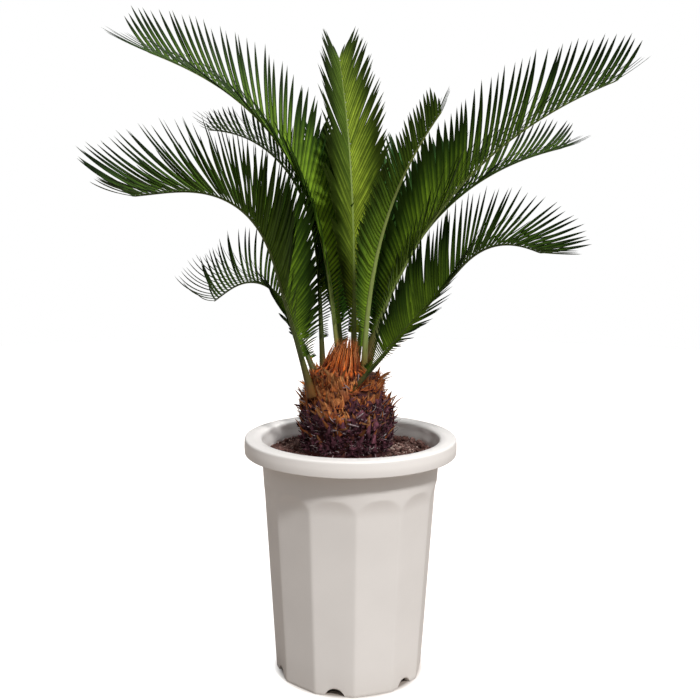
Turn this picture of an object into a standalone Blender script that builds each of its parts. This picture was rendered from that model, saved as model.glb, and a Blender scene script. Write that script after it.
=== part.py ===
# A sago palm in a white plastic pot.
#
# Metres, +Z up. The origin is the centre of the pot's foot, on the surface it stands on, and -Y is
# the front. The pieces are the pot, the soil with its hole for the plant's foot, the trunk covered
# in old leaf bases, the tuft of young leaf bases at the crown, and one piece for each frond: a
# square midrib with its two rows of leaflets drawn out of its sides.

import math
import random
from collections import namedtuple

import bmesh
import bpy
from mathutils import Vector
from mathutils.bvhtree import BVHTree

OBJECT_NAME = "potted_sago_palm"
GAP = 0.0003                # clearance between pieces that touch

# Pot: a round tapered wall with twelve flats that end in arches under the rim
FLATS = 12
FLAT_HALF = math.pi / FLATS
FIRST_FLAT = math.radians(-90 - 11)   # direction of the flat that faces the front
SAMPLES_PER_FLAT = 4
FOOT_RADIUS = 0.0875
WALL_FLARE = 0.062          # growth of the radius for each metre of height
ARCH_SPRING = 0.213
ARCH_RISE = 0.020
RIM_UNDERSIDE = 0.2645
POT_HEIGHT = 0.284
RIM_RADIUS = 0.124
MOUTH_RADIUS = 0.1035
RIM_SOFT = 0.003            # how far the rim's outer edge is rounded down
FOOT_SOFT = 0.0012          # chamfer round the foot
FLOOR_TOP = 0.0095
FLOOR_RADIUS = 0.080
RECESS_HEIGHT = 0.0065
RECESS_INNER = 0.024        # the round pad left in the middle of the underside
RECESS_OUTER = 0.078
NOTCHES = 6                 # one under every other flat
NOTCH_RADIUS = 0.0125
NOTCH_HEIGHT = 0.0085
NOTCH_LENGTH = 0.030
DRAIN_RADIUS = 0.005
DRAIN_CIRCLE = 0.052
DRAIN_LENGTH = 0.040

# Soil
SOIL_EDGE = 0.2625          # height at the wall
SOIL_MOUND = 0.0040         # how much higher it lies at the trunk
SOIL_RADIUS = 0.1010
SOIL_LUMP = 0.0012
SOIL_RINGS = (0.092, 0.078, 0.064, 0.050)
INSIDE_WALL = (             # inside of the pot from the soil's edge down, as (radius, height)
    (SOIL_RADIUS, SOIL_EDGE),
    (0.0990, 0.236),
    (0.0930, 0.211),
    (FLOOR_RADIUS, FLOOR_TOP),
)

# Trunk: a taproot and foot in the soil, then leaf bases in a spiral lattice, then the crown
TRUNK_CENTRE = (-0.005, 0.0)
TRUNK_RADIUS = 0.050
TAPROOT_TIP = 0.120
SCALE_COLUMNS = 16
SCALE_ROWS = 7              # rows on the upright part, and SHOULDER_ROWS more above them
SHOULDER_ROWS = 3
SCALE_FROM = 0.2715
SCALE_TO = 0.338
SCALE_OUT = 0.0095
SCALE_UP = 0.0135
STUB_SHARE = 0.25           # share of the leaf bases that keep a longer dry point
SCALE_CLEAR = 0.0075        # what a leaf base's point keeps from the middle of a frond's stem
CROWN_TOP = 0.358
CROWN_RADIUS = 0.034        # the crown's flat middle

# Tuft of young leaf bases in the middle of the crown
TUFT_CENTRE = (-0.0110, -0.0115)
TUFT_RADIUS = 0.0165
TUFT_HEIGHT = 0.046
TUFT_COLUMNS = 12
TUFT_ROWS = 7
TUFT_OUT = 0.0034
TUFT_UP = 0.0125
TUFT_CLEAR = 0.0070
TUFT_LEAN = 0.007           # how far its tip stands to the right of its foot

# Fronds. Heading is the compass direction a frond leans to (0 is +X, 90 is +Y), its lean is from
# the vertical, in degrees, and goes from the first to the second between two shares of its length.
# The lifts are how far the leaflets of each row stand out of the frond's plane, at the four places
# below. The opening is their angle to the midrib, at the foot and at the tip. The last leaflet has
# that share of the full length. Lengths are in metres.
Frond = namedtuple(
    "Frond",
    "name foot heading lean bend length right_lift left_lift opening leaflet last pairs",
)
FRONDS = [
    Frond(
        "upper_left", (-0.012, 0.016, 0.349), 165, (7, 70), (0.14, 1.04), 0.488,
        (82, 66, 72, 84), (22, 16, 11, 9), (38, 33), 0.099, 0.60, 29,
    ),
    Frond(
        "left", (-0.044, -0.027, 0.335), 208, (17, 97), (0.40, 0.93), 0.352,
        (102, 92, 62, 78), (-18, 4, 32, 26), (46, 47), 0.104, 0.74, 24,
    ),
    Frond(
        "back_left", (-0.033, 0.030, 0.344), 152, (3, 97), (0.26, 1.18), 0.384,
        (64, 62, 62, 62), (36, 38, 38, 38), (42, 38), 0.062, 0.62, 24,
    ),
    Frond(
        "low_left", (-0.038, 0.010, 0.345), 152, (27, 124), (0.35, 0.93), 0.218,
        (80, 76, 72, 76), (16, 22, 34, 40), (56, 66), 0.076, 0.86, 14,
    ),
    Frond(
        "centre", (0.003, 0.016, 0.349), 100, (0, 41), (0.09, 1.06), 0.403,
        (50, 50, 50, 50), (50, 50, 50, 50), (44, 30), 0.088, 0.60, 26,
    ),
    Frond(
        "right_centre", (0.0145, -0.012, 0.346), -58, (1, 60), (-0.10, 1.30), 0.342,
        (36, 36, 36, 40), (50, 54, 60, 64), (42, 34), 0.042, 1.00, 24,
    ),
    Frond(
        "upper_right", (0.0075, 0.0065, 0.349), -12, (19, 76), (0.00, 1.28), 0.456,
        (12, 12, 12, 12), (92, 86, 82, 80), (44, 38), 0.098, 0.58, 29,
    ),
    Frond(
        "right", (0.015, 0.015, 0.349), 15, (14, 81), (-0.01, 1.16), 0.394,
        (30, 20, 16, 12), (60, 62, 64, 68), (40, 31), 0.074, 0.70, 25,
    ),
    Frond(
        "low_right", (-0.003, -0.037, 0.338), -23, (41, 112), (0.64, 1.01), 0.290,
        (-34, -22, 8, 36), (100, 94, 88, 84), (50, 44), 0.076, 0.76, 19,
    ),
    Frond(
        "back_1", (-0.010, 0.029, 0.349), 112, (12, 30), (0.20, 1.00), 0.300,
        (45, 45, 45, 45), (45, 45, 45, 45), (42, 30), 0.078, 0.50, 17,
    ),
    Frond(
        "back_2", (0.004, 0.031, 0.347), 62, (18, 38), (0.20, 1.00), 0.300,
        (45, 45, 45, 45), (45, 45, 45, 45), (42, 30), 0.078, 0.50, 17,
    ),
    Frond(
        "back_3", (0.017, 0.027, 0.348), 46, (22, 46), (0.20, 1.00), 0.310,
        (45, 45, 45, 45), (45, 45, 45, 45), (42, 30), 0.074, 0.50, 17,
    ),
]
LIFT_PLACES = (0.0, 0.25, 0.5, 1.0)     # shares of the leafy stretch
RIB_WIDTH = (0.0074, 0.0014)      # midrib, side to side, at the foot and at the tip
RIB_DEPTH = (0.0062, 0.0014)      # midrib, upper to lower face
LEAFLETS_FROM = 0.17              # shares of the frond's length where the leaflets begin and end
LEAFLETS_TO = 0.995
LEAFLET_WIDTH = 0.0052
LEAFLET_THICKNESS = 0.0009
LEAFLET_SHOULDER = 0.45           # share of a leaflet's length where it is widest
LEAFLET_CROWDING = 1.25           # above 1, the leaflets stand closer at the frond's foot
LEAFLET_BOW = 0.075               # bow of a leaflet towards the frond's tip, as a share of its length
LEAFLET_SAG = 0.045               # how far its middle hangs below the line from its foot to its tip
LIFT_LIMITS = (-30, 80)           # a leaflet's lift is held between these
SPINE_STEPS = 240
STEM_REACH = 0.060                # stretch of each stem that the leaf bases make room for
SOCKET_REACH = 0.036              # depth of a stem's socket among the leaf bases
CLEAR_MARGIN = 0.0006             # what a leaflet keeps from other pieces
CLEAR_TURNS = (0, 8, -8, 16, -16, 24, -24, 32, -32)
CLEAR_SHARES = (1.0, 0.8, 0.62, 0.45, 0.3)

COLOURS = {
    # colour, roughness
    "pot_white": ((0.80, 0.78, 0.75, 1.0), 0.32),
    "soil_brown": ((0.055, 0.035, 0.024, 1.0), 0.95),
    "trunk_brown": ((0.115, 0.060, 0.045, 1.0), 0.85),
    "tuft_orange": ((0.480, 0.190, 0.060, 1.0), 0.80),
    "frond_green": ((0.075, 0.120, 0.030, 1.0), 0.42),
    "young_green": ((0.170, 0.230, 0.045, 1.0), 0.40),
}


def remove_everything():
    """Empty the scene."""
    for item in list(bpy.data.objects):
        bpy.data.objects.remove(item, do_unlink=True)


def new_collection(name):
    collection = bpy.data.collections.new(name)
    bpy.context.scene.collection.children.link(collection)
    return collection


def material(name):
    """The Principled material of that name, made the first time it is asked for."""
    found = bpy.data.materials.get(name)
    if found:
        return found
    colour, roughness = COLOURS[name]
    made = bpy.data.materials.new(name)
    made.use_nodes = True
    shader = made.node_tree.nodes["Principled BSDF"]
    shader.inputs["Base Color"].default_value = colour
    shader.inputs["Roughness"].default_value = roughness
    shader.inputs["Metallic"].default_value = 0.0
    made.diffuse_color = colour
    return made


def new_object(name, bm, collection, material_name=None):
    """An object made from the bmesh, which is freed."""
    mesh = bpy.data.meshes.new(name)
    bmesh.ops.recalc_face_normals(bm, faces=bm.faces)
    bm.to_mesh(mesh)
    bm.free()
    item = bpy.data.objects.new(name, mesh)
    collection.objects.link(item)
    if material_name:
        mesh.materials.append(material(material_name))
    return item


def cutter(name, bm, collection):
    item = new_object(name, bm, collection)
    item.hide_render = True
    item.display_type = "WIRE"
    return item


def cut(item, tool):
    """Subtract the tool from the item with a Boolean modifier."""
    boolean = item.modifiers.new(tool.name, "BOOLEAN")
    boolean.operation = "DIFFERENCE"
    boolean.solver = "EXACT"
    boolean.object = tool


def turned(profile, centre, steps):
    """A bmesh turned about a vertical axis at centre; the profile, as (radius, height) points, runs
    from the axis round the outside and back to the axis."""
    bm = bmesh.new()
    points = [bm.verts.new((centre[0] + r, centre[1], z)) for r, z in profile]
    edges = [bm.edges.new(pair) for pair in zip(points, points[1:])]
    bmesh.ops.spin(
        bm,
        geom=points + edges,
        cent=(centre[0], centre[1], 0.0),
        axis=(0.0, 0.0, 1.0),
        angle=2 * math.pi,
        steps=steps,
        use_merge=True,
    )
    bmesh.ops.remove_doubles(bm, verts=bm.verts, dist=1e-6)
    return bm


def smoothstep(value):
    value = min(1.0, max(0.0, value))
    return value * value * (3 - 2 * value)


def mix(pair, share):
    return pair[0] + (pair[1] - pair[0]) * share


def round_angles():
    """Directions of the wall's vertical lines, which the pot and the soil share."""
    count = FLATS * SAMPLES_PER_FLAT
    return [FIRST_FLAT + 2 * math.pi * k / count for k in range(count)]


def ring_skin(rings, angles):
    """A closed bmesh through rings of (radius, height) points, one for each direction."""
    bm = bmesh.new()
    rows = []
    for ring in rings:
        row = [
            bm.verts.new((r * math.cos(a), r * math.sin(a), z))
            for a, (r, z) in zip(angles, ring)
        ]
        rows.append(row)
    close_bands(bm, rows)
    bm.faces.new(rows[0])
    bm.faces.new(rows[-1])
    return bm


# Pot


def wall_radius(height):
    """Radius of the round wall, which the edges between the flats touch."""
    return FOOT_RADIUS + WALL_FLARE * height


def pot_radius(angle, height):
    """Outside of the wall: the round taper, or the flat where that lies further in."""
    rise = (height - ARCH_SPRING) / ARCH_RISE
    half = FLAT_HALF * math.sqrt(max(0.0, 1 - max(0.0, rise) ** 2))
    from_middle = (angle - FIRST_FLAT + FLAT_HALF) % (2 * FLAT_HALF) - FLAT_HALF
    flat = math.cos(half) / math.cos(from_middle)
    return wall_radius(height) * min(1.0, flat)


def make_pot(parts, cutters):
    """The pot as one skin of rings: outside wall, rim, inside wall and floor."""
    angles = round_angles()
    arch = [ARCH_SPRING + ARCH_RISE * share for share in (0.0, 0.5, 0.8, 0.95, 1.0)]
    outside = [0.0] + arch + [RIM_UNDERSIDE]
    rings = []
    for height in outside:
        inset = FOOT_SOFT if height == 0.0 else 0.0
        rings.append([(pot_radius(a, height) - inset, height) for a in angles])
    rings.insert(1, [(pot_radius(a, FOOT_SOFT), FOOT_SOFT) for a in angles])
    rim = [
        (RIM_RADIUS - 0.0015, RIM_UNDERSIDE),
        (RIM_RADIUS, RIM_UNDERSIDE + 0.002),
        (RIM_RADIUS, POT_HEIGHT - RIM_SOFT),
        (RIM_RADIUS - 0.27 * RIM_SOFT, POT_HEIGHT - 0.37 * RIM_SOFT),
        (RIM_RADIUS - 0.83 * RIM_SOFT, POT_HEIGHT - 0.10 * RIM_SOFT),
        (RIM_RADIUS - 0.0110, POT_HEIGHT),
        (MOUTH_RADIUS + 0.0030, POT_HEIGHT - 0.0008),
        (MOUTH_RADIUS + 0.0005, POT_HEIGHT - 0.0030),
    ]
    rings += [[point] * len(angles) for point in rim + list(INSIDE_WALL)]
    pot = new_object("pot", ring_skin(rings, angles), parts, "pot_white")

    recess = turned(
        [
            (RECESS_INNER, -0.01),
            (RECESS_OUTER, -0.01),
            (RECESS_OUTER, RECESS_HEIGHT),
            (RECESS_INNER, RECESS_HEIGHT),
            (RECESS_INNER, -0.01),
        ],
        (0.0, 0.0),
        FLATS * 4,
    )
    cut(pot, cutter("underside_recess", recess, cutters))
    for k in range(NOTCHES):
        facing = FIRST_FLAT + 2 * math.pi * k / NOTCHES
        cut(pot, foot_notch(f"foot_notch_{k}", facing, cutters))
        cut(pot, drain_hole(f"drain_hole_{k}", facing, cutters))
    return pot


def foot_notch(name, facing, cutters):
    """A lying cylinder that leaves an arch in the foot at that direction."""
    bm = bmesh.new()
    bmesh.ops.create_cone(
        bm,
        cap_ends=True,
        segments=20,
        radius1=NOTCH_RADIUS,
        radius2=NOTCH_RADIUS,
        depth=NOTCH_LENGTH,
    )
    tool = cutter(name, bm, cutters)
    reach = FOOT_RADIUS - 0.004
    drop = NOTCH_HEIGHT - NOTCH_RADIUS
    tool.location = (reach * math.cos(facing), reach * math.sin(facing), drop)
    tool.rotation_euler = (0.0, math.pi / 2, facing)
    return tool


def drain_hole(name, facing, cutters):
    bm = bmesh.new()
    bmesh.ops.create_cone(
        bm,
        cap_ends=True,
        segments=12,
        radius1=DRAIN_RADIUS,
        radius2=DRAIN_RADIUS,
        depth=DRAIN_LENGTH,
    )
    tool = cutter(name, bm, cutters)
    tool.location = (DRAIN_CIRCLE * math.cos(facing), DRAIN_CIRCLE * math.sin(facing), 0.0)
    return tool


# Soil


def trunk_profile(extra):
    """The buried foot of the trunk, from the tip of the taproot up, as (radius, height)."""
    return [
        (0.0, TAPROOT_TIP - extra),
        (0.006 + extra, TAPROOT_TIP - extra),
        (0.014 + extra, 0.165),
        (0.026 + extra, 0.195),
        (0.043 + extra, 0.215),
        (TRUNK_RADIUS + extra, 0.235),
        (TRUNK_RADIUS + extra, SCALE_FROM - 0.0055),
    ]


def soil_height(radius, angle):
    """Height of the soil's top: a low mound with small uneven lumps."""
    x = radius * math.cos(angle)
    y = radius * math.sin(angle)
    mound = SOIL_MOUND * (1 - radius / SOIL_RADIUS)
    return SOIL_EDGE + mound + SOIL_LUMP * math.sin(160 * x + 3) * math.cos(190 * y)


def make_soil(parts, cutters):
    """The soil fills the pot; its top is mounded and uneven, with a plain hole for the trunk."""
    angles = round_angles()
    wall = [(radius - GAP, max(height, FLOOR_TOP + GAP)) for radius, height in INSIDE_WALL]
    rings = [[point] * len(angles) for point in reversed(wall)]
    for radius in SOIL_RINGS:
        rings.append([(radius, soil_height(radius, angle)) for angle in angles])
    bm = ring_skin(rings, angles)
    soil = new_object("soil", bm, parts, "soil_brown")
    hole = trunk_profile(GAP)
    hole.append((TRUNK_RADIUS + GAP, 0.30))
    hole.append((0.0, 0.30))
    cut(soil, cutter("trunk_hole", turned(hole, TRUNK_CENTRE, SCALE_COLUMNS), cutters))
    return soil


# Trunk and tuft


def lattice(bm, rows, apex):
    """Join staggered rings of vertices into diamonds, each raised to the point that apex gives for
    its middle, its row and its outward direction. The lowest and highest rings stay plain."""
    count = len(rows[0])
    for r in range(1, len(rows) - 1):
        low, row, high = rows[r - 1], rows[r], rows[r + 1]
        shift = r % 2
        for k in range(count):
            left = row[k]
            right = row[(k + 1) % count]
            other = (k + shift) % count
            below = low[other]
            above = high[other]
            middle = (left.co + right.co) / 2
            tip = bm.verts.new(apex(middle, r, k))
            for pair in ((below, right), (right, above), (above, left), (left, below)):
                bm.faces.new((pair[0], pair[1], tip))


def staggered_ring(bm, radius, height, centre, count, odd):
    """A ring of vertices, turned by half a step on odd rows."""
    ring = []
    for k in range(count):
        angle = 2 * math.pi * (k + 0.5 * odd) / count
        ring.append(
            bm.verts.new(
                (
                    centre[0] + radius * math.cos(angle),
                    centre[1] + radius * math.sin(angle),
                    height,
                )
            )
        )
    return ring


def close_bands(bm, rings):
    """Join rings whose vertices line up, by quads."""
    count = len(rings[0])
    for low, high in zip(rings, rings[1:]):
        for k in range(count):
            after = (k + 1) % count
            bm.faces.new((low[k], low[after], high[after], high[k]))


def standing(bm, low, high, index):
    """The triangles between two staggered rings that stand on the lower one, whose row is index."""
    count = len(low)
    for k in range(count):
        bm.faces.new((low[k], low[(k + 1) % count], high[(k + index % 2) % count]))


def hanging(bm, low, high, index):
    """The triangles between two staggered rings that hang from the upper one."""
    count = len(low)
    for k in range(count):
        bm.faces.new((high[k], low[(k + (index + 1) % 2) % count], high[(k + 1) % count]))


def outward(point, centre):
    """Level direction from the axis at centre to the point."""
    away = Vector((point.x - centre[0], point.y - centre[1], 0.0))
    return away.normalized()


def distance_to_spines(point, spines):
    """Distance from the point to the nearest of the fronds' stems."""
    best = 1.0
    for spine in spines:
        for place in spine:
            best = min(best, (place - point).length)
    return best


def trunk_ring(row):
    """Radius and height of a row of the lattice: the trunk swells a little and draws in, and above
    its upright part it rounds over to the crown along a quarter of an ellipse."""
    share = min(1.0, (row - 1) / (SCALE_ROWS - 1))
    radius = TRUNK_RADIUS + 0.0025 * math.sin(math.pi * share) - 0.002 * share
    if row <= SCALE_ROWS:
        return radius, mix((SCALE_FROM, SCALE_TO), share)
    turn = math.pi / 2 * (row - SCALE_ROWS) / (SHOULDER_ROWS + 0.6)
    inward = (radius - CROWN_RADIUS) * (1 - math.cos(turn))
    return radius - inward, SCALE_TO + (CROWN_TOP - SCALE_TO) * math.sin(turn)


def make_trunk(parts, spines):
    """Taproot, foot, leaf bases and crown in one closed skin."""
    draw = random.Random(11)
    count = SCALE_COLUMNS
    bm = bmesh.new()
    foot = [
        staggered_ring(bm, radius, height, TRUNK_CENTRE, count, 0)
        for radius, height in trunk_profile(0.0)[1:]
    ]
    rows = [foot[-1]]
    for r in range(1, SCALE_ROWS + SHOULDER_ROWS + 1):
        radius, height = trunk_ring(r)
        rows.append(staggered_ring(bm, radius, height, TRUNK_CENTRE, count, r % 2))

    def apex(middle, row, column):
        away = outward(middle, TRUNK_CENTRE)
        out = SCALE_OUT * draw.uniform(0.75, 1.15)
        up = SCALE_UP * draw.uniform(0.85, 1.1)
        if draw.random() < STUB_SHARE:
            out *= 1.35
        fade = smoothstep((row - 0.5) / 2.0)
        tip = middle + away * out * (0.35 + 0.65 * fade) + Vector((0, 0, up))
        if distance_to_spines(tip, spines) < SCALE_CLEAR:
            tip = middle + away * 0.0015 + Vector((0, 0, 0.002))
        return tip

    lattice(bm, rows, apex)
    last = len(rows) - 1
    top = staggered_ring(bm, CROWN_RADIUS, CROWN_TOP, TRUNK_CENTRE, count, (last + 1) % 2)
    close_bands(bm, foot)
    bm.faces.new(foot[0])
    standing(bm, rows[0], rows[1], 0)
    hanging(bm, rows[-2], rows[-1], last - 1)
    standing(bm, rows[-1], top, last)
    hanging(bm, rows[-1], top, last)
    bm.faces.new(top)
    return new_object("trunk", bm, parts, "trunk_brown")


def make_tuft(parts, spines):
    """Furry young leaf bases: a cone whose diamonds are drawn up into long points."""
    draw = random.Random(5)
    bm = bmesh.new()
    base = CROWN_TOP + GAP
    rows = []
    for r in range(TUFT_ROWS + 2):
        share = r / (TUFT_ROWS + 1)
        radius = TUFT_RADIUS * (1 - share ** 1.6) + 0.0022
        lean = TUFT_LEAN * share
        centre = (TUFT_CENTRE[0] + lean, TUFT_CENTRE[1])
        rows.append(
            staggered_ring(bm, radius, base + TUFT_HEIGHT * 0.8 * share, centre, TUFT_COLUMNS, r % 2)
        )

    def apex(middle, row, column):
        away = outward(middle, TUFT_CENTRE)
        out = TUFT_OUT * draw.uniform(0.4, 1.2)
        up = TUFT_UP * draw.uniform(0.8, 1.25)
        tip = middle + away * out + Vector((0, 0, up))
        if distance_to_spines(tip, spines) < TUFT_CLEAR:
            tip = middle + away * 0.0004 + Vector((0, 0, 0.002))
        return tip

    lattice(bm, rows, apex)
    standing(bm, rows[0], rows[1], 0)
    bm.faces.new(rows[0])
    hanging(bm, rows[-2], rows[-1], TUFT_ROWS)
    top = bm.verts.new((TUFT_CENTRE[0] + TUFT_LEAN, TUFT_CENTRE[1], base + TUFT_HEIGHT))
    for k in range(TUFT_COLUMNS):
        bm.faces.new((rows[-1][k - 1], rows[-1][k], top))
    return new_object("crown_tuft", bm, parts, "tuft_orange")


# Fronds


def frond_spine(frond):
    """Points and frames along the midrib: each is (place, along, upper side, sideways)."""
    place = Vector(frond.foot)
    step = frond.length / SPINE_STEPS
    frames = []
    for k in range(SPINE_STEPS + 1):
        share = k / SPINE_STEPS
        turn = smoothstep((share - frond.bend[0]) / (frond.bend[1] - frond.bend[0]))
        lean = math.radians(mix(frond.lean, turn))
        heading = math.radians(frond.heading)
        level = Vector((math.cos(heading), math.sin(heading), 0.0))
        along = level * math.sin(lean) + Vector((0, 0, math.cos(lean)))
        upper = -level * math.cos(lean) + Vector((0, 0, math.sin(lean)))
        frames.append((place.copy(), along, upper, along.cross(upper)))
        place = place + along * step
    return frames


def stem_points(frond, frames):
    """Points along the lowest stretch of the midrib, STEM_REACH long."""
    count = math.ceil(STEM_REACH / frond.length * SPINE_STEPS)
    return [frame[0] for frame in frames[:count]]


def frame_at(frames, share):
    """The frame nearest a share of the length."""
    index = round(share * SPINE_STEPS)
    return frames[min(SPINE_STEPS, max(0, index))]


def rib_corners(frames, share, extra, slide=0.0):
    """Four corners of the midrib's section: upper left, upper right, lower right, lower left."""
    place, along, upper, side = frame_at(frames, share)
    half_width = mix(RIB_WIDTH, share ** 0.8) / 2 + extra
    half_depth = mix(RIB_DEPTH, share ** 0.8) / 2 + extra
    place = place + along * slide
    return [
        place - side * half_width + upper * half_depth,
        place + side * half_width + upper * half_depth,
        place + side * half_width - upper * half_depth,
        place - side * half_width - upper * half_depth,
    ]


def join_rings(bm, low, high, skip=()):
    """Triangles between two rings of four vertices, split alike on opposite faces."""
    for k in range(4):
        if k in skip:
            continue
        after = (k + 1) % 4
        if k in (0, 1):
            bm.faces.new((low[k], low[after], high[after]))
            bm.faces.new((low[k], high[after], high[k]))
        else:
            bm.faces.new((low[k], low[after], high[k]))
            bm.faces.new((low[after], high[after], high[k]))


def leaflet_size(frond, share):
    """Length of a leaflet at a share of the leafy stretch: prickles, then full, then shorter."""
    grow = min(1.0, 0.12 + 2.9 * share)
    taper = 1 - (1 - frond.last) * max(0.0, (share - 0.5) / 0.5) ** 2
    return frond.leaflet * grow * taper


def leaflet_opening(frond, share):
    """Angle between a leaflet and the midrib, in degrees, with wide prickles near the foot."""
    return mix(frond.opening, share) + 30 * max(0.0, 1 - share / 0.25) ** 1.5


def lift_at(lifts, share):
    """A row's lift at a share of the leafy stretch, evenly between the four given."""
    k = sum(1 for place in LIFT_PLACES[1:-1] if share > place)
    local = (share - LIFT_PLACES[k]) / (LIFT_PLACES[k + 1] - LIFT_PLACES[k])
    return mix((lifts[k], lifts[k + 1]), local)


def leaflet_shape(frond, frame, share, side_sign, root, turn, scale):
    """Shoulder, tip and frame of one leaflet, from the middle of its place on the midrib.

    The leaflet leaves the midrib at its opening, is lifted by its row's lift and the turn, and bows
    towards the frond's tip."""
    along, upper, side = frame[1:]
    size = leaflet_size(frond, share) * scale
    opening = math.radians(leaflet_opening(frond, share))
    lifts = frond.right_lift if side_sign > 0 else frond.left_lift
    wanted = lift_at(lifts, share) + turn
    lift = math.radians(min(LIFT_LIMITS[1], max(LIFT_LIMITS[0], wanted)))
    across = side * side_sign * math.cos(lift) + upper * math.sin(lift)
    direction = along * math.cos(opening) + across * math.sin(opening)
    flat = (along - direction * along.dot(direction)).normalized()
    face = direction.cross(flat) * side_sign
    middle = (root[0] + root[1] + root[2] + root[3]) / 4
    bow = flat * size * LEAFLET_BOW - face * size * LEAFLET_SAG
    shoulder = middle + direction * size * LEAFLET_SHOULDER + bow
    tip = middle + direction * size
    return shoulder, tip, flat, face


def leaflet_section(centre, flat, face, extra):
    """Four corners in the order of the midrib's side face: near and far along, upper and lower."""
    half_width = LEAFLET_WIDTH / 2 + extra
    half_thick = LEAFLET_THICKNESS / 2 + extra
    return [
        centre + flat * half_width + face * half_thick,
        centre - flat * half_width + face * half_thick,
        centre - flat * half_width - face * half_thick,
        centre + flat * half_width - face * half_thick,
    ]


def shape_tree(root, shoulder, tip, flat, face):
    """A slightly swollen copy of a leaflet for the overlap test."""
    far = tip + (tip - shoulder).normalized() * CLEAR_MARGIN
    corner_signs = ((1, 1), (-1, 1), (-1, -1), (1, -1))
    points = [
        corner + (flat * near + face * up) * CLEAR_MARGIN
        for corner, (near, up) in zip(root, corner_signs)
    ]
    points += leaflet_section(shoulder, flat, face, CLEAR_MARGIN)
    points.append(far)
    faces = [(k, (k + 1) % 4, 4 + (k + 1) % 4, 4 + k) for k in range(4)]
    faces += [(4 + k, 4 + (k + 1) % 4, 8) for k in range(4)]
    faces.append((3, 2, 1, 0))
    return BVHTree.FromPolygons(points, faces)


def tube_tree(rings):
    """Overlap tree of a tube through rings of four corners."""
    points = [corner for ring in rings for corner in ring]
    faces = []
    for r in range(len(rings) - 1):
        for k in range(4):
            after = (k + 1) % 4
            faces.append((4 * r + k, 4 * r + after, 4 * r + 4 + after, 4 * r + 4 + k))
    faces.append((0, 1, 2, 3))
    last = 4 * (len(rings) - 1)
    faces.append((last, last + 1, last + 2, last + 3))
    return BVHTree.FromPolygons(points, faces)


def rib_rings(frames, extra, first, last, count):
    return [
        rib_corners(frames, first + (last - first) * k / (count - 1), extra)
        for k in range(count)
    ]


def leaflet_root(low, high, side_sign):
    """The corners of the midrib's side face that a leaflet grows from, between two rings."""
    if side_sign > 0:
        return [high[1], low[1], low[2], high[2]]
    return [high[0], low[0], low[3], high[3]]


def clear_leaflet(frond, frame, share, side_sign, root, obstacles):
    """The first turn and length that keep a leaflet off everything in its way."""
    corners = [vert.co for vert in root]
    for scale in CLEAR_SHARES:
        for turn in CLEAR_TURNS:
            shape = leaflet_shape(frond, frame, share, side_sign, corners, turn, scale)
            tree = shape_tree(corners, *shape)
            if not any(tree.overlap(other) for other in obstacles):
                return shape, tree
    return None, None


def make_frond(frond, frames, obstacles, parts):
    """The midrib's rings, with a leaflet drawn out of each side face between paired rings.

    Returns the overlap trees of its leaflets."""
    bm = bmesh.new()
    leafy = LEAFLETS_TO - LEAFLETS_FROM
    half = LEAFLET_WIDTH * 0.46 / frond.length
    stations = [0.0, LEAFLETS_FROM * 0.5]
    marks = {}
    for k in range(frond.pairs):
        share = ((k + 0.5) / frond.pairs) ** LEAFLET_CROWDING
        middle = LEAFLETS_FROM + leafy * share
        marks[len(stations)] = share
        stations += [middle - half, middle + half]
    stations.append(1.0)

    own = []
    rings = []
    for station in stations:
        rings.append([bm.verts.new(corner) for corner in rib_corners(frames, station, 0.0)])
    for r, (low, high) in enumerate(zip(rings, rings[1:])):
        if r not in marks:
            join_rings(bm, low, high)
            continue
        share = marks[r]
        frame = frame_at(frames, (stations[r] + stations[r + 1]) / 2)
        skip = []
        for side_sign, face_index in ((1, 1), (-1, 3)):
            root = leaflet_root(low, high, side_sign)
            others = obstacles + own[-6:]
            shape, tree = clear_leaflet(frond, frame, share, side_sign, root, others)
            if shape is None:
                continue
            own.append(tree)
            skip.append(face_index)
            draw_leaflet(bm, root, shape)
        join_rings(bm, low, high, skip)
    bm.faces.new(rings[0])
    bm.faces.new(rings[-1])
    bmesh.ops.triangulate(bm, faces=[f for f in bm.faces if len(f.verts) > 3])
    colour = "young_green" if frond.name == "centre" else "frond_green"
    new_object(f"frond_{frond.name}", bm, parts, colour)
    return own


def draw_leaflet(bm, root, shape):
    """Extend the midrib's side face into a leaflet that ends in a point."""
    shoulder, tip, flat, face = shape
    section = [bm.verts.new(corner) for corner in leaflet_section(shoulder, flat, face, 0.0)]
    point = bm.verts.new(tip)
    join_rings(bm, root, section)
    for k in range(4):
        bm.faces.new((section[k], section[(k + 1) % 4], point))


def make_fronds(parts, trunk, tuft, spines, cutters):
    """Every frond in turn, its leaflets clear of the pieces and fronds that are there already."""
    ribs = {
        frond.name: tube_tree(rib_rings(spines[frond.name], CLEAR_MARGIN, 0.02, 1.0, 40))
        for frond in FRONDS
    }
    fixed = [object_tree(trunk), object_tree(tuft)]
    placed = []
    for frond in FRONDS:
        frames = spines[frond.name]
        others = [tree for name, tree in ribs.items() if name != frond.name]
        placed += make_frond(frond, frames, fixed + others + placed, parts)
        socket = bmesh.new()
        first = [socket.verts.new(c) for c in rib_corners(frames, 0.0, GAP, -GAP)]
        rings = [first]
        for k in range(1, 4):
            share = min(LEAFLETS_FROM, SOCKET_REACH / frond.length) * k / 3
            rings.append([socket.verts.new(c) for c in rib_corners(frames, share, GAP)])
        for low, high in zip(rings, rings[1:]):
            join_rings(socket, low, high)
        socket.faces.new(first)
        socket.faces.new(rings[-1])
        cut(trunk, cutter(f"socket_{frond.name}", socket, cutters))


def object_tree(item):
    """Overlap tree of an object's own mesh."""
    points = [vert.co for vert in item.data.vertices]
    faces = [tuple(face.vertices) for face in item.data.polygons]
    return BVHTree.FromPolygons(points, faces)


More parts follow.
